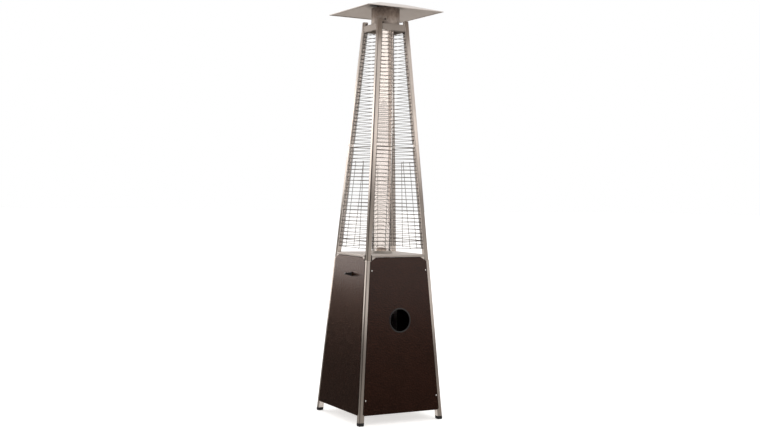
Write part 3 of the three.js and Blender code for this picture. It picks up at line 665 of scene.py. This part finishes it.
def makePost(level, turns):
    spec, lip, wall = postSizes[level], postSizes["lip"], postSizes["wall"]
    low, high = spec["low"], spec["high"]
    rings = []
    for offset, z in ((lip, low), (0, low + lip), (0, high - lip), (lip, high), (wall, high), (wall, low)):
        ring = roundedRing(spec["size"], postSizes["radii"], 6, offset)
        rings.append([onCorner(turns, -x, y, z, spec["inset"]) for x, y in ring])
    post = loft(f"{level}_post_tube_{corners[turns]}", rings, loop=True)
    dress(post, spec["finish"], "postInside")
    # faces turned inward take the painted-shade copy of the steel
    for face in post.data.polygons:
        nx, ny, nz = quarter(face.normal, -turns)
        if nx < -0.75 or ny > 0.75:
            face.material_index = 1
    handOver(sharpen(post, 50), "frame", "post_steel", f"{level}_post_{corners[turns]}")


footSizes = {"post": 0.030, "grow": 0.0012, "radii": (0.0085, 0.0065, 0.0065, 0.0065),
             "layers": ((0.0048, 0.0), (0.0026, 0.0004), (0.0012, 0.0016), (0.0004, 0.0036), (0.0, 0.0062),
                        (0.0, 0.0158), (0.0003, 0.0166), (0.0010, 0.0170), (0.0030, 0.0171)),
             "plug": 0.0196, "plugInset": 0.0052, "plugLayers": ((0, 0.0160), (0, 0.0318), (0.0012, 0.0338))}


def makeFoot(turns):
    spec, name = footSizes, f"foot_pad_{corners[turns]}"
    grow, inset = spec["grow"], spec["plugInset"]
    pad, plug = [], []
    for offset, z in spec["layers"]:
        ring = roundedRing(spec["post"] + 2 * grow, spec["radii"], 6, offset)
        pad.append([onCorner(turns, grow - x, y - grow, z) for x, y in ring])
    for offset, z in spec["plugLayers"]:
        ring = roundedRing(spec["plug"], (0.003,) * 4, 3, offset)
        plug.append([onCorner(turns, -inset - x, y + inset, z) for x, y in ring])
    foot = joined(name, [loft(name, pad), loft("plug", plug)])
    handOver(dress(sharpen(foot, 45), "footRubber"), "frame", "foot_rubber", f"foot_cap_{corners[turns]}")


for turns in range(4):
    makePost("lower", turns)
    makePost("upper", turns)
for turns in range(4):
    makeFoot(turns)
print("posts and feet made")

# Cabinet panels: one bent sheet each, edges folded inward above and below.
panelSizes = {"low": 0.053, "high": 0.884, "margin": 0.020, "face": 0.0018, "sheet": 0.0015, "bend": 0.0028,
              "fold": 0.0097, "cutWide": 0.032, "cutHigh": 0.020, "bottomCut": 0.008, "bendSteps": 5,
              "foldLow": 0.032, "foldHigh": 0.053, "edgeSoft": 0.0004,
              "holes": {"front": (0.0065, 0.035, 0.788, 40), "right": (0.0607, 0, 0.547, 96)}}


def panelEdge(y):  # half the panel's width at a height
    spec = panelSizes
    edge = halfAt(y) - spec["margin"]
    shoulder = spec["high"] - spec["cutHigh"]
    if y > shoulder:
        cut = spec["cutWide"] + halfAt(shoulder) - halfAt(spec["high"])
        return halfAt(shoulder) - spec["margin"] - (y - shoulder) / spec["cutHigh"] * cut
    return edge - max(spec["low"] + spec["bottomCut"] - y, 0)


def panelPath():  # outer and inner line of the sheet, from the lower fold to the upper
    spec = panelSizes
    low, high, r, thick, face = (spec[key] for key in ("low", "high", "bend", "sheet", "face"))
    lower = [(low, -spec["fold"], low + thick, -spec["fold"])]
    for step in range(spec["bendSteps"] + 1):
        a = step / spec["bendSteps"] * math.pi / 2
        lower.append((low + r - r * math.cos(a), face - r + r * math.sin(a),
                      low + r - (r - thick) * math.cos(a), face - r + (r - thick) * math.sin(a)))
    mids = [(y, face, y, face - thick) for y in (low + spec["bottomCut"], high - spec["cutHigh"])]
    upper = [(low + high - oy, oz, low + high - iy, iz) for oy, oz, iy, iz in reversed(lower)]
    return [*lower, *mids, *upper]


def panelSheet(name):
    rings = []
    path = panelPath()
    for index, (oy, oz, iy, iz) in enumerate(path):
        w = panelEdge(oy)
        if index < 2:
            w = halfAt(panelSizes["low"]) - panelSizes["foldLow"]
        if index > len(path) - 3:
            w = halfAt(panelSizes["high"]) - panelSizes["foldHigh"]
        rings.append([(-w, oy, oz), (w, oy, oz), (w, iy, iz), (-w, iy, iz)])
    return loft(name, rings)


def makePanel(side):
    turns = sides.index(side)
    sheet = panelSheet(f"{side}_panel_sheet")
    if side in panelSizes["holes"]:
        radius, x, y, segments = panelSizes["holes"][side]
        drilled(sheet, drill(radius, x, y, segments=segments))
    leanOnto(bevelled(sheet, panelSizes["edgeSoft"], 2, 50), turns)
    handOver(dress(steadied(sheet), "bronze"), "frame", "cabinet_bronze", f"{side}_panel")


hingeSizes = {"heights": (0.170, 0.760), "long": 0.020, "side": 0.004, "out": 0.0058, "bore": 0.0030,
              "radius": 0.0045, "soft": 0.0003, "strap": (-0.022, -0.0036), "strapDepth": (-0.0042, -0.0026)}


def hingeLug(height):
    spec = hingeSizes
    long, bore, radius, soft = (spec[key] for key in ("long", "bore", "radius", "soft"))
    half = [(bore, soft), (bore + soft, 0), (radius - soft, 0), (radius, soft)]
    barrel = turned("barrel", half + [(r, long - z) for r, z in reversed(half)], 32)
    facingOut(reshaped(barrel, lambda x, y, z: (x, z + height, y)))
    near, far = ((x, height + y, z) for x, y, z in zip(spec["strap"], (0, long), spec["strapDepth"]))
    lug = joined("lug", [barrel, bevelled(block("strap", near, far), 0.0005)])
    aside = form["baseHalf"] - panelSizes["margin"] + spec["side"]
    return reshaped(lug, lambda x, y, z: (aside + x - taper * y, y, z + spec["out"]))


def makeDoor():
    sheet = bevelled(panelSheet("door_sheet"), panelSizes["edgeSoft"], 2, 50)
    door = joined("rear_door_sheet", [sheet] + [hingeLug(height) for height in hingeSizes["heights"]])
    leanOnto(door, 2)
    handOver(dress(steadied(sharpen(door)), "bronze"), "door", "cabinet_bronze", "rear_door")


ringSizes = {"bore": 0.0590, "sleeve": 0.0604, "lip": 0.0658, "under": 0.0021, "over": 0.0036, "back": -0.003,
             "height": 0.547}


def makeHoleRing():
    bore, sleeve, lip, under, over, back, height = ringSizes.values()
    ring = turned("hand_hole_edging", [
        (bore, back + 0.0004), (bore + 0.0004, back), (sleeve, back), (sleeve, under), (lip, under),
        (lip + 0.0003, under + 0.0005), (lip - 0.0001, over - 0.0006), (lip - 0.0009, over - 0.0001),
        (bore + 0.0014, over), (bore + 0.0004, over - 0.0004), (bore, over - 0.0012)])
    ring.data.transform(Matrix.Translation((0, height, 0)))
    handOver(dress(sharpen(leanOnto(ring, 1), 35), "ringPlastic"), "frame", "black_plastic", "hand_hole_ring")


for side in ("front", "right", "left"):
    makePanel(side)
makeDoor()
makeHoleRing()
print("cabinet made")


def offsetOutline(points, inset):
    moved = []
    for index, here in enumerate(points):
        ahead = (here - points[index - 1]).normalized()
        onward = (points[(index + 1) % len(points)] - here).normalized()
        side = Vector((-ahead.y, ahead.x))
        mid = side + Vector((-onward.y, onward.x))
        moved.append(here + mid * (inset / max(1e-6, mid.dot(side))))
    return moved


def roundedOutline(points, radius, segments=4):
    made = []
    for index, here in enumerate(points):
        ends = []
        for other in (points[index - 1], points[(index + 1) % len(points)]):
            away = other - here
            ends.append(here + away.normalized() * min(radius, away.length * 0.45))
        for step in range(segments + 1):
            t = step / segments
            made.append(ends[0].lerp(here, t).lerp(here.lerp(ends[1], t), t))
    return made


def slab(name, outline, low, high, soft=0.0003):
    layers = ((soft, low), (0, low + soft), (0, high - soft), (soft, high))
    return loft(name, [[(p.x, p.y, z) for p in offsetOutline(outline, inset)] for inset, z in layers])


# Trays: a notched plate with its four edges bent down and hemmed.
trays = {
    "base_tray": {"top": 0.076, "grow": -0.001, "notch": 0.0305, "rim": 0.018, "hole": 0.045,
                  "plate": "trayRimSteel", "edge": "trayRimSteel"},
    "burner_deck": {"top": 0.898, "grow": 0.0018, "notch": 0.0275, "rim": 0.012, "hole": 0.044,
                    "plate": "deckSteel", "edge": "trayRimSteel"},
    "fixing_tray": {"top": 2.155, "grow": -0.0035, "notch": 0.0275, "rim": 0.036, "hole": 0.048,
                    "plate": "headSteel", "edge": "headSteel"},
}
pressing = {"sheet": 0.0015, "bend": 0.0022, "hem": 0.0009, "hemLong": 0.0052, "bendSteps": 5, "soft": 0.00025}
tabSizes = {"depths": (-0.0004, -0.0019),  # each layer: height, then the tab's edges in from the corner
            "layers": ((0.8610, 0.0306, 0.0440), (0.8740, 0.0304, 0.0524), (0.8875, 0.0303, 0.0524))}


def cornerTab(turns, hand):  # folded tab that closes the deck's corner beside a post
    rings = []
    front, back = tabSizes["depths"]
    for y, near, far in tabSizes["layers"]:
        a, b = hand * (halfAt(y) - near), hand * (halfAt(y) - far)
        rings.append([onFace(turns, x, y, z) for x, z in ((a, front), (b, front), (b, back), (a, back))])
    return loft("tab", rings)


def trayRim(turns, half, top, drop, wide):
    bend, sheet, hem = pressing["bend"], pressing["sheet"], pressing["hem"]
    centre = half - bend
    path = [(centre - 0.0002, top, centre - 0.0002, top - sheet)]
    for step in range(pressing["bendSteps"] + 1):
        a = step / pressing["bendSteps"] * math.pi / 2
        path.append((centre + bend * math.sin(a), top - bend + bend * math.cos(a),
                     centre + (bend - sheet) * math.sin(a), top - bend + (bend - sheet) * math.cos(a)))
    for up, swell in ((pressing["hemLong"], 0), (0.0046, hem), (0.0006, hem), (0.0, hem * 0.3)):
        path.append((half, top - drop + up, half - sheet - swell, top - drop + up))
    rim = loft("rim", [[(ox, -wide, oz), (ox, wide, oz), (ix, wide, iz), (ix, -wide, iz)]
                      for ox, oz, ix, iz in path])
    return reshaped(rim, lambda x, y, z: quarter((x, y, z), turns))


def makeTray(node):
    spec, bend = trays[node], pressing["bend"]
    top = spec["top"]
    half, notch = halfAt(top) + spec["grow"], halfAt(top) - spec["notch"]
    points = [Vector(quarter((x, y, 0), turns)[:2]) for turns in range(4)
              for x, y in ((half - bend, -notch), (half - bend, notch), (notch, notch))]
    plate = slab("plate", roundedOutline(points, 0.0012, 2), top - pressing["sheet"], top)
    drilled(plate, drill(spec["hole"], 0, 0, top - 0.02, top + 0.02, 96))
    edges = [trayRim(turns, half, top, spec["rim"], notch - 0.0002) for turns in range(4)]
    if node == "burner_deck":
        edges += [cornerTab(turns, hand) for turns in range(4) for hand in (-1, 1)]
    tray = joined(node + "_pressing", [dress(plate, spec["plate"])] +
                   [dress(edge, spec["edge"]) for edge in edges])
    bevelled(tray, pressing["soft"], 1, 60)
    handOver(steadied(facingOut(tray, 1e-7), 0.0004), "frame", "stainless", node)


for node in trays:
    makeTray(node)
print("trays made")

tubeRings = {  # node: piece, facets, finish, slot, then radius and height round the wall
    "glass_tube": ("flame_tube_glass", 96, "glass", "clear_glass", [
        (0.0475, 0.9024), (0.0479, 0.9019), (0.0496, 0.9019), (0.0500, 0.9024),
        (0.0500, 2.1475), (0.0496, 2.1480), (0.0479, 2.1480), (0.0475, 2.1475)]),
    "tube_seat": ("tube_seat_ring", 72, "seatFinish", "seal_rubber", [
        (0.0443, 0.8983), (0.0592, 0.8983), (0.0600, 0.8992), (0.0578, 0.9108),
        (0.0568, 0.9121), (0.0556, 0.9123),
        (0.0512, 0.9123), (0.0503, 0.9115), (0.0503, 0.9016), (0.0443, 0.9016),
        (0.0440, 0.9013), (0.0440, 0.8986)]),
    "tube_collar": ("tube_collar_ring", 72, "plainSteel", "stainless", [
        (0.0465, 2.1527), (0.0465, 2.1484), (0.0503, 2.1483), (0.0503, 2.1376), (0.0507, 2.1372),
        (0.0596, 2.1372), (0.0604, 2.1378), (0.0630, 2.1522), (0.0626, 2.1532), (0.0470, 2.1532)]),
}
for node, (name, facets, look, slotName, profile) in tubeRings.items():
    handOver(dress(turned(name, profile, facets), look), "frame", slotName, node)

burnerSizes = {"radius": 0.028, "low": 0.903, "slots": 24, "slotLow": (0.020, -0.0009, 0.9140),
               "slotHigh": (0.032, 0.0009, 0.9265)}


def makeBurner():
    spec = burnerSizes
    r, low, count = spec["radius"], spec["low"], spec["slots"]
    cap = turned("burner_cap", [
        (0.0138, low), (0.0138, 0.9101), (r - 0.0017, 0.9101), (r - 0.0015, 0.9299),
        (0.0, 0.9330), (0.0, 0.9360),
        (0.012, 0.9355), (0.022, 0.9338), (r - 0.0012, 0.9312), (r, 0.9290), (r, 0.9104), (r - 0.0006, 0.9086),
        (0.0158, 0.9084), (0.0153, low)], 72)
    slots = [block("slot", spec["slotLow"], spec["slotHigh"]) for _ in range(count)]
    for index, slot in enumerate(slots):
        slot.data.transform(Matrix.Rotation(2 * math.pi * index / count, 4, "Z"))
    drilled(cap, joined("slots", slots))
    handOver(dress(sharpen(cap, 35), "burnerSteel"), "frame", "heated_steel", "burner_head")


makeBurner()
print("tube and burner made")

screenSizes = {"radius": 0.078, "wall": 0.0012, "low": 2.1553, "high": 2.2475, "bead": 0.0034, "lip": 0.0011,
               "hole": 0.003, "holeHeight": 2.1813, "angles": (-30, 90, 210)}


def around(angle, distance, height=0.0):  # moves a piece out along an angle round the heater
    return Matrix.Rotation(math.radians(angle), 4, "Z") @ Matrix.Translation((distance, 0, height))


def makeScreen():
    spec = screenSizes
    outer, low, high, bead, lip = (spec[key] for key in ("radius", "low", "high", "bead", "lip"))
    inner = outer - spec["wall"]
    beaded = [(inner, 0.0003), (inner + 0.0003, 0), (outer + 0.0007, 0),
              (outer + lip, 0.0008), (outer + lip, 0.0022),
              (outer, bead)]
    plain = [(outer, low + bead + (high - low - 2 * bead) * step / 10) for step in range(1, 10)]
    profile = [(r, low + z) for r, z in beaded] + plain + [(r, high - z) for r, z in reversed(beaded)]
    holes = [drill(spec["hole"], 0, 0, segments=24) for _ in spec["angles"]]
    for hole, angle in zip(holes, spec["angles"]):
        hole.data.transform(around(angle, outer, spec["holeHeight"]) @ Matrix.Rotation(math.pi / 2, 4, "Y"))
    wall = drilled(turned("flame_screen_wall", profile, 120), *holes)
    handOver(dress(sharpen(wall, 35), "burntSteel"), "frame", "heated_steel", "flame_screen")


reflectorSizes = {  # half width and height of each ring
    "inside": ((0.0800, 2.2665), (0.0816, 2.2664), (0.0828, 2.2662), (0.2310, 2.2239),
               (0.2315, 2.2236), (0.2299, 2.2232), (0.2299, 2.2220), (0.2303, 2.2216)),
    "outside": ((0.2330, 2.2216), (0.2334, 2.2220), (0.2334, 2.2243), (0.2331, 2.2247),
                (0.2322, 2.2250), (0.0834, 2.2677), (0.0822, 2.26795), (0.0808, 2.2680))}


def makeReflector():
    rings = []
    for half, z in (*reflectorSizes["inside"], *reflectorSizes["outside"]):
        radius = 0.004 + 0.006 * (1 - (half - 0.08) / 0.154)
        rings.append([(x - half, y - half, z) for x, y in roundedRing(2 * half, (radius,) * 4, 5)])
    top = dress(loft("reflector_sheet", rings), "reflectorSteel", "reflectorUnder")
    for face in top.data.polygons:
        face.material_index = 1 if face.normal.z < 0.1 and face.center.z > 2.2226 else 0
    handOver(steadied(sharpen(top, 12), 0.004), "frame", "reflector_steel", "reflector")


nutSizes = {"circle": 0.050, "low": 2.2683, "high": 2.2703, "radius": 0.0065, "bore": 0.0028}


def makeNut(index, angle):
    circle, low, high, radius, bore = nutSizes.values()
    nut = turned(f"reflector_nut_hex_{index}", [
        (bore, low), (radius - 0.0004, low), (radius, low + 0.0003), (radius, high - 0.0006),
        (radius - 0.0010, high - 0.0003), (bore + 0.0002, high - 0.0003), (bore, high - 0.0006)], 6)
    nut.data.transform(around(angle, circle))
    handOver(dress(sharpen(nut, 25), "plainSteel"), "frame", "stainless", f"reflector_nut_{index}")


makeScreen()
makeReflector()
for index, angle in enumerate(screenSizes["angles"]):
    makeNut(index + 1, angle)
print("head made")

# The knob is made in a space whose z points out of the front panel.
knobSizes = {"side": 0.035, "height": 0.788, "face": 0.0018, "skirt": 0.013, "back": 0.0045, "front": 0.042,
             "wide": 0.0115, "thick": 0.0055, "ridge": (0.0006, 0.0106), "ridgeHalf": 0.0006}


def makeKnob():
    spec = knobSizes
    wide, thick, skirtR = spec["wide"], spec["thick"], spec["skirt"]
    skirt = turned("skirt", [(r, spec["back"] + z) for r, z in (
        (0.0043, 0), (skirtR - 0.0006, 0), (skirtR, 0.0006), (skirtR - 0.0004, 0.0032),
        (skirtR - 0.0016, 0.0046),
        (0.0090, 0.0054), (0.0078, 0.0066), (0.0074, 0.0200), (0.0060, 0.0216), (0.0, 0.0220), (0.0, 0.0205),
        (0.0043, 0.0203))], 64)
    low, high = spec["back"], spec["front"]
    rings = []
    for z, grow, soft in (
            (low + 0.0042, 0.0004, 0.0024), (low + 0.010, 0.0, 0.0024), (low + 0.024, -0.0002, 0.0024),
            (high - 0.0042, 0.0, 0.0026), (high - 0.0016, -0.0006, 0.0030), (high - 0.0004, -0.0018, 0.0026),
            (high, -0.0034, 0.0014)):
        w, t = wide + grow, thick + grow * 0.8
        outline = [Vector(p) for p in ((w, -t), (w, t), (-w, t), (-w, -t))]
        rings.append([(p.x, p.y, z) for p in roundedOutline(outline, soft * 1.3, 6)])
    (near, far), half = spec["ridge"], spec["ridgeHalf"]
    ridge = [[(x, y, z) for x, y in ((near + o, -half), (far - o, -half), (far - o, half), (near + o, half))]
             for z, o in ((high - 0.0010, 0), (high + 0.0001, 0.0001), (high + 0.0003, 0.0004))]
    knob = joined("control_knob_grip", [skirt, loft("grip", rings), loft("ridge", ridge)])
    place = Matrix.Translation((spec["side"], -(halfAt(spec["height"]) + spec["face"]), spec["height"]))
    knob.data.transform(place @ Matrix.Rotation(math.pi / 2 - math.atan(taper), 4, "X"))
    handOver(dress(sharpen(knob, 35), "blackPlastic"), "knob", "black_plastic", "control_knob")


makeKnob()
print("knob made")


def screwHead(name, radius, high, look):  # a domed head with a cross recess
    head = turned(name, [(0, -0.0006), (radius * 0.96, -0.0006), (radius, 0.0), (radius, high * 0.25),
                         (radius * 0.93, high * 0.62), (radius * 0.72, high * 0.9), (radius * 0.42, high),
                         (0, high)],
                  32, closed=False)
    tools = [block("slot", (-radius * 0.5, -radius * 0.1, high * 0.45),
                           (radius * 0.5, radius * 0.1, high * 1.6))
             for _ in range(2)]
    tools[1].data.transform(Matrix.Rotation(math.pi / 2, 4, "Z"))
    return dress(sharpen(drilled(head, *tools), 30), look)


def screwTree():  # heads on points that carry their own facing
    tree = Tree("screwHeads", {"Head": "Object", "Size": "Float", "Spin": "Float",
                              "Seed": "Int", "Finish": "Material"})
    facing = tree.node("GeometryNodeInputNamedAttribute", {"Name": "facing"},
                       data_type="FLOAT_VECTOR").outputs[0]
    aim = tree.node("FunctionNodeAlignRotationToVector", {"Vector": facing}, axis="Z").outputs[0]
    draw = {2: 0.0, 3: tree["Spin"], "Seed": tree["Seed"]}
    spin = tree.node("FunctionNodeRandomValue", draw, data_type="FLOAT").outputs[1]
    turn = tree.node("FunctionNodeAxisAngleToRotation", {"Axis": (0, 0, 1), "Angle": spin}).outputs[0]
    both = tree.node("FunctionNodeRotateRotation", {0: aim, 1: turn}, rotation_space="LOCAL").outputs[0]
    head = tree.node("GeometryNodeObjectInfo", {"Object": tree["Head"]}).outputs["Geometry"]
    size = tree.vec(tree["Size"], tree["Size"], tree["Size"])
    tree.end(tree.placed(tree["Geometry"], head, Rotation=both, Scale=size), tree["Finish"])
    return tree


screws = screwTree()


def setScrews(name, head, places, look, slotName, size=1.0):  # places are pairs of point and facing
    seed = meshObject(name + "Seed", [place for place, facing in places], [])
    layer = seed.data.attributes.new("facing", "FLOAT_VECTOR", "POINT")
    layer.data.foreach_set("vector", [c for place, facing in places for c in Vector(facing).normalized()])
    values = {"Head": head, "Size": size, "Spin": 3.1, "Seed": 7, "Finish": finish[look]}
    handOver(sharpen(grown(name, screws, values, seed), 30), "frame", slotName)


def faceScrew(turns, x, y, z):
    return onFace(turns, x, y, z), quarter((0, -1, taper), turns)


screwSizes = {"panel": ((0.1675, 0.814), (0.2185, 0.132)), "panelOut": 0.0018,
              "guard": ((0, -1), (1, 1), (2, -1), (2, 1), (3, -1), (3, 1)), "guardHeight": 1.4950,
              "guardIn": 0.0145,
              "boltAside": 0.0145, "boltIn": 0.027, "boltHigh": 2.1600, "boltLow": 2.1120}


def makeScrews():
    spec = screwSizes
    panelHead = screwHead("panelHead", 0.0046, 0.0026, "brightScrew")
    smallHead = screwHead("smallHead", 0.0030, 0.0017, "brightScrew")
    darkHead = screwHead("darkHead", 0.0046, 0.0036, "blackScrew")
    boltHead = dress(turned("boltHead", [
        (0, -0.0004), (0.0030, -0.0004), (0.0030, 0.0040), (0.0052, 0.0044), (0.0055, 0.0050), (0.0055, 0.0100),
        (0.0048, 0.0110), (0, 0.0112)], 24, closed=False), "blackScrew")
    places = [faceScrew(turns, hand * x, y, spec["panelOut"])
              for turns in (1, 3) for x, y in spec["panel"] for hand in (-1, 1)]
    setScrews("panel_screws", panelHead, places, "brightScrew", "stainless")
    y = spec["guardHeight"]
    places = [faceScrew(turns, hand * (halfAt(y) - spec["guardIn"]), y, -0.002)
              for turns, hand in spec["guard"]]
    setScrews("guard_screws", smallHead, places, "brightScrew", "stainless")
    places = []
    for angle in screenSizes["angles"]:
        way = Vector((math.cos(math.radians(angle)), math.sin(math.radians(angle)), 0))
        places.append((way * screenSizes["radius"] + Vector((0, 0, screenSizes["holeHeight"])), way))
    setScrews("screen_screws", darkHead, places, "blackScrew", "heated_steel", 0.92)
    aside, inward = spec["boltAside"], spec["boltIn"]
    places = [(onCorner(turns, -aside, inward, spec["boltHigh"]), quarter((0, 1, 0), turns))
              for turns in (3, 0)]
    places += [(onCorner(turns, -inward, aside, spec["boltLow"]), quarter((-1, 0, 0), turns))
               for turns in (1, 2)]
    setScrews("head_bolts", boltHead, places, "blackScrew", "heated_steel")
    for head in (panelHead, smallHead, darkHead, boltHead):
        removed(head)


makeScrews()
print("screws made")

studio = {"floor": (0.86, 0.85, 0.84), "floorGlow": 0.55, "sky": 1.0,
          "shade": 0.22, "shadeWay": (0.574, -0.819, 0.0), "shadeEdge": (0.38, 0.62), "skyStops": [
              (0.0, (0.62, 0.59, 0.56)), (0.33, (0.58, 0.55, 0.52)), (0.41, (0.07, 0.062, 0.058)),
              (0.487, (0.028, 0.024, 0.022)), (0.508, (0.12, 0.11, 0.105)), (0.545, (0.72, 0.69, 0.67)),
              (0.60, (0.90, 0.87, 0.85)), (1.0, (1.05, 1.04, 1.03))]}


def makeFloor():
    corner, depth = 60, -0.0004
    floor = meshObject("floor", [(x * corner, y * corner, depth)
                                 for x, y in ((-1, -1), (1, -1), (1, 1), (-1, 1))],
                       [(0, 1, 2, 3)])
    mat, tree, shader, coords = finishNodes("paleFloor")
    feed(tree, shader, {"Base Color": (*studio["floor"], 1), "Roughness": 0.9, "Specular IOR Level": 0.1,
                        "Emission Color": (1, 1, 1, 1), "Emission Strength": studio["floorGlow"]})
    floor.data.materials.append(mat)
    floor.visible_glossy = False


def makeSky():  # plain white behind the heater, shaded in the reflections
    world = bpy.data.worlds.new("studio")
    bpy.context.scene.world = world
    world.use_nodes = True
    tree = world.node_tree
    back = next(n for n in tree.nodes if n.type == "BACKGROUND")
    out = next(n for n in tree.nodes if n.type == "OUTPUT_WORLD")
    way = put(tree, "ShaderNodeTexCoord").outputs["Generated"]
    light = ramp(tree, spread(tree, heightOf(tree, way), 0.0, 1.0, -1.0, 1.0), studio["skyStops"])
    aim = {0: way, 1: studio["shadeWay"]}
    facing = put(tree, "ShaderNodeVectorMath", aim, operation="DOT_PRODUCT").outputs["Value"]
    shade = ramp(tree, spread(tree, facing, 0.0, 1.0, *studio["shadeEdge"]),
                 [(0.0, (1, 1, 1)), (1.0, (studio["shade"],) * 3)])
    feed(tree, back, {"Color": multiplied(tree, light, shade), "Strength": studio["sky"]})
    plain = put(tree, "ShaderNodeBackground", {"Color": (1, 1, 1, 1), "Strength": 1.0})
    path = put(tree, "ShaderNodeLightPath").outputs
    rays = {0: path["Is Camera Ray"], 1: path["Is Transmission Ray"]}
    seen = put(tree, "ShaderNodeMath", rays, operation="MAXIMUM").outputs[0]
    mix = put(tree, "ShaderNodeMixShader", {"Fac": seen, 1: back.outputs[0], 2: plain.outputs[0]})
    tree.links.new(mix.outputs[0], out.inputs["Surface"])


lamps = {  # place, aim, size across and up, watts, colour, seen in reflections
    "softLeft": ((-3.6, -2.1, 1.96), (0, 0, 1.6), (2.2, 2.44), 38, (1.0, 0.97, 0.95), True),
    "softCamera": ((3.2, -4.8, 2.7), (0, 0, 1.2), (2.0, 2.2), 60, (1.0, 0.98, 0.97), False),
    "softRight": ((4.2, 2.6, 2.0), (0, 0, 1.4), (2.4, 2.6), 20, (1.0, 0.97, 0.95), True),
}


def makeLamp(name, place, aim, size, watts, tone, mirrored):
    data = bpy.data.lights.new(name, "AREA")
    data.shape = "RECTANGLE"
    data.size, data.size_y = size
    data.energy = watts
    data.color = tone
    lamp = linked(name, data)
    lamp.location = place
    lamp.rotation_euler = (Vector(aim) - Vector(place)).to_track_quat("-Z", "Y").to_euler()
    lamp.visible_camera = False
    lamp.visible_glossy = mirrored


cameraView = {"place": (5.4075, -3.0130, 1.2279), "forward": (-0.87426, 0.48512, -0.01834),
              "roll": 1.02, "lens": 52.85}


def makeCamera():
    data = bpy.data.cameras.new("camera")
    data.lens = cameraView["lens"]
    data.clip_end = 200
    camera = linked("camera", data)
    ahead = Vector(cameraView["forward"]).normalized()
    right = ahead.cross(Vector((0, 0, 1))).normalized()
    turn = Matrix((right, right.cross(ahead), -ahead)).transposed().to_4x4()
    roll = Matrix.Rotation(math.radians(cameraView["roll"]), 4, "Z")
    camera.matrix_world = Matrix.Translation(cameraView["place"]) @ turn @ roll
    bpy.context.scene.camera = camera


makeFloor()
makeSky()
for name, lamp in lamps.items():
    makeLamp(name, *lamp)
makeCamera()
bpy.context.scene.view_settings.view_transform = "Standard"
print("stage made")
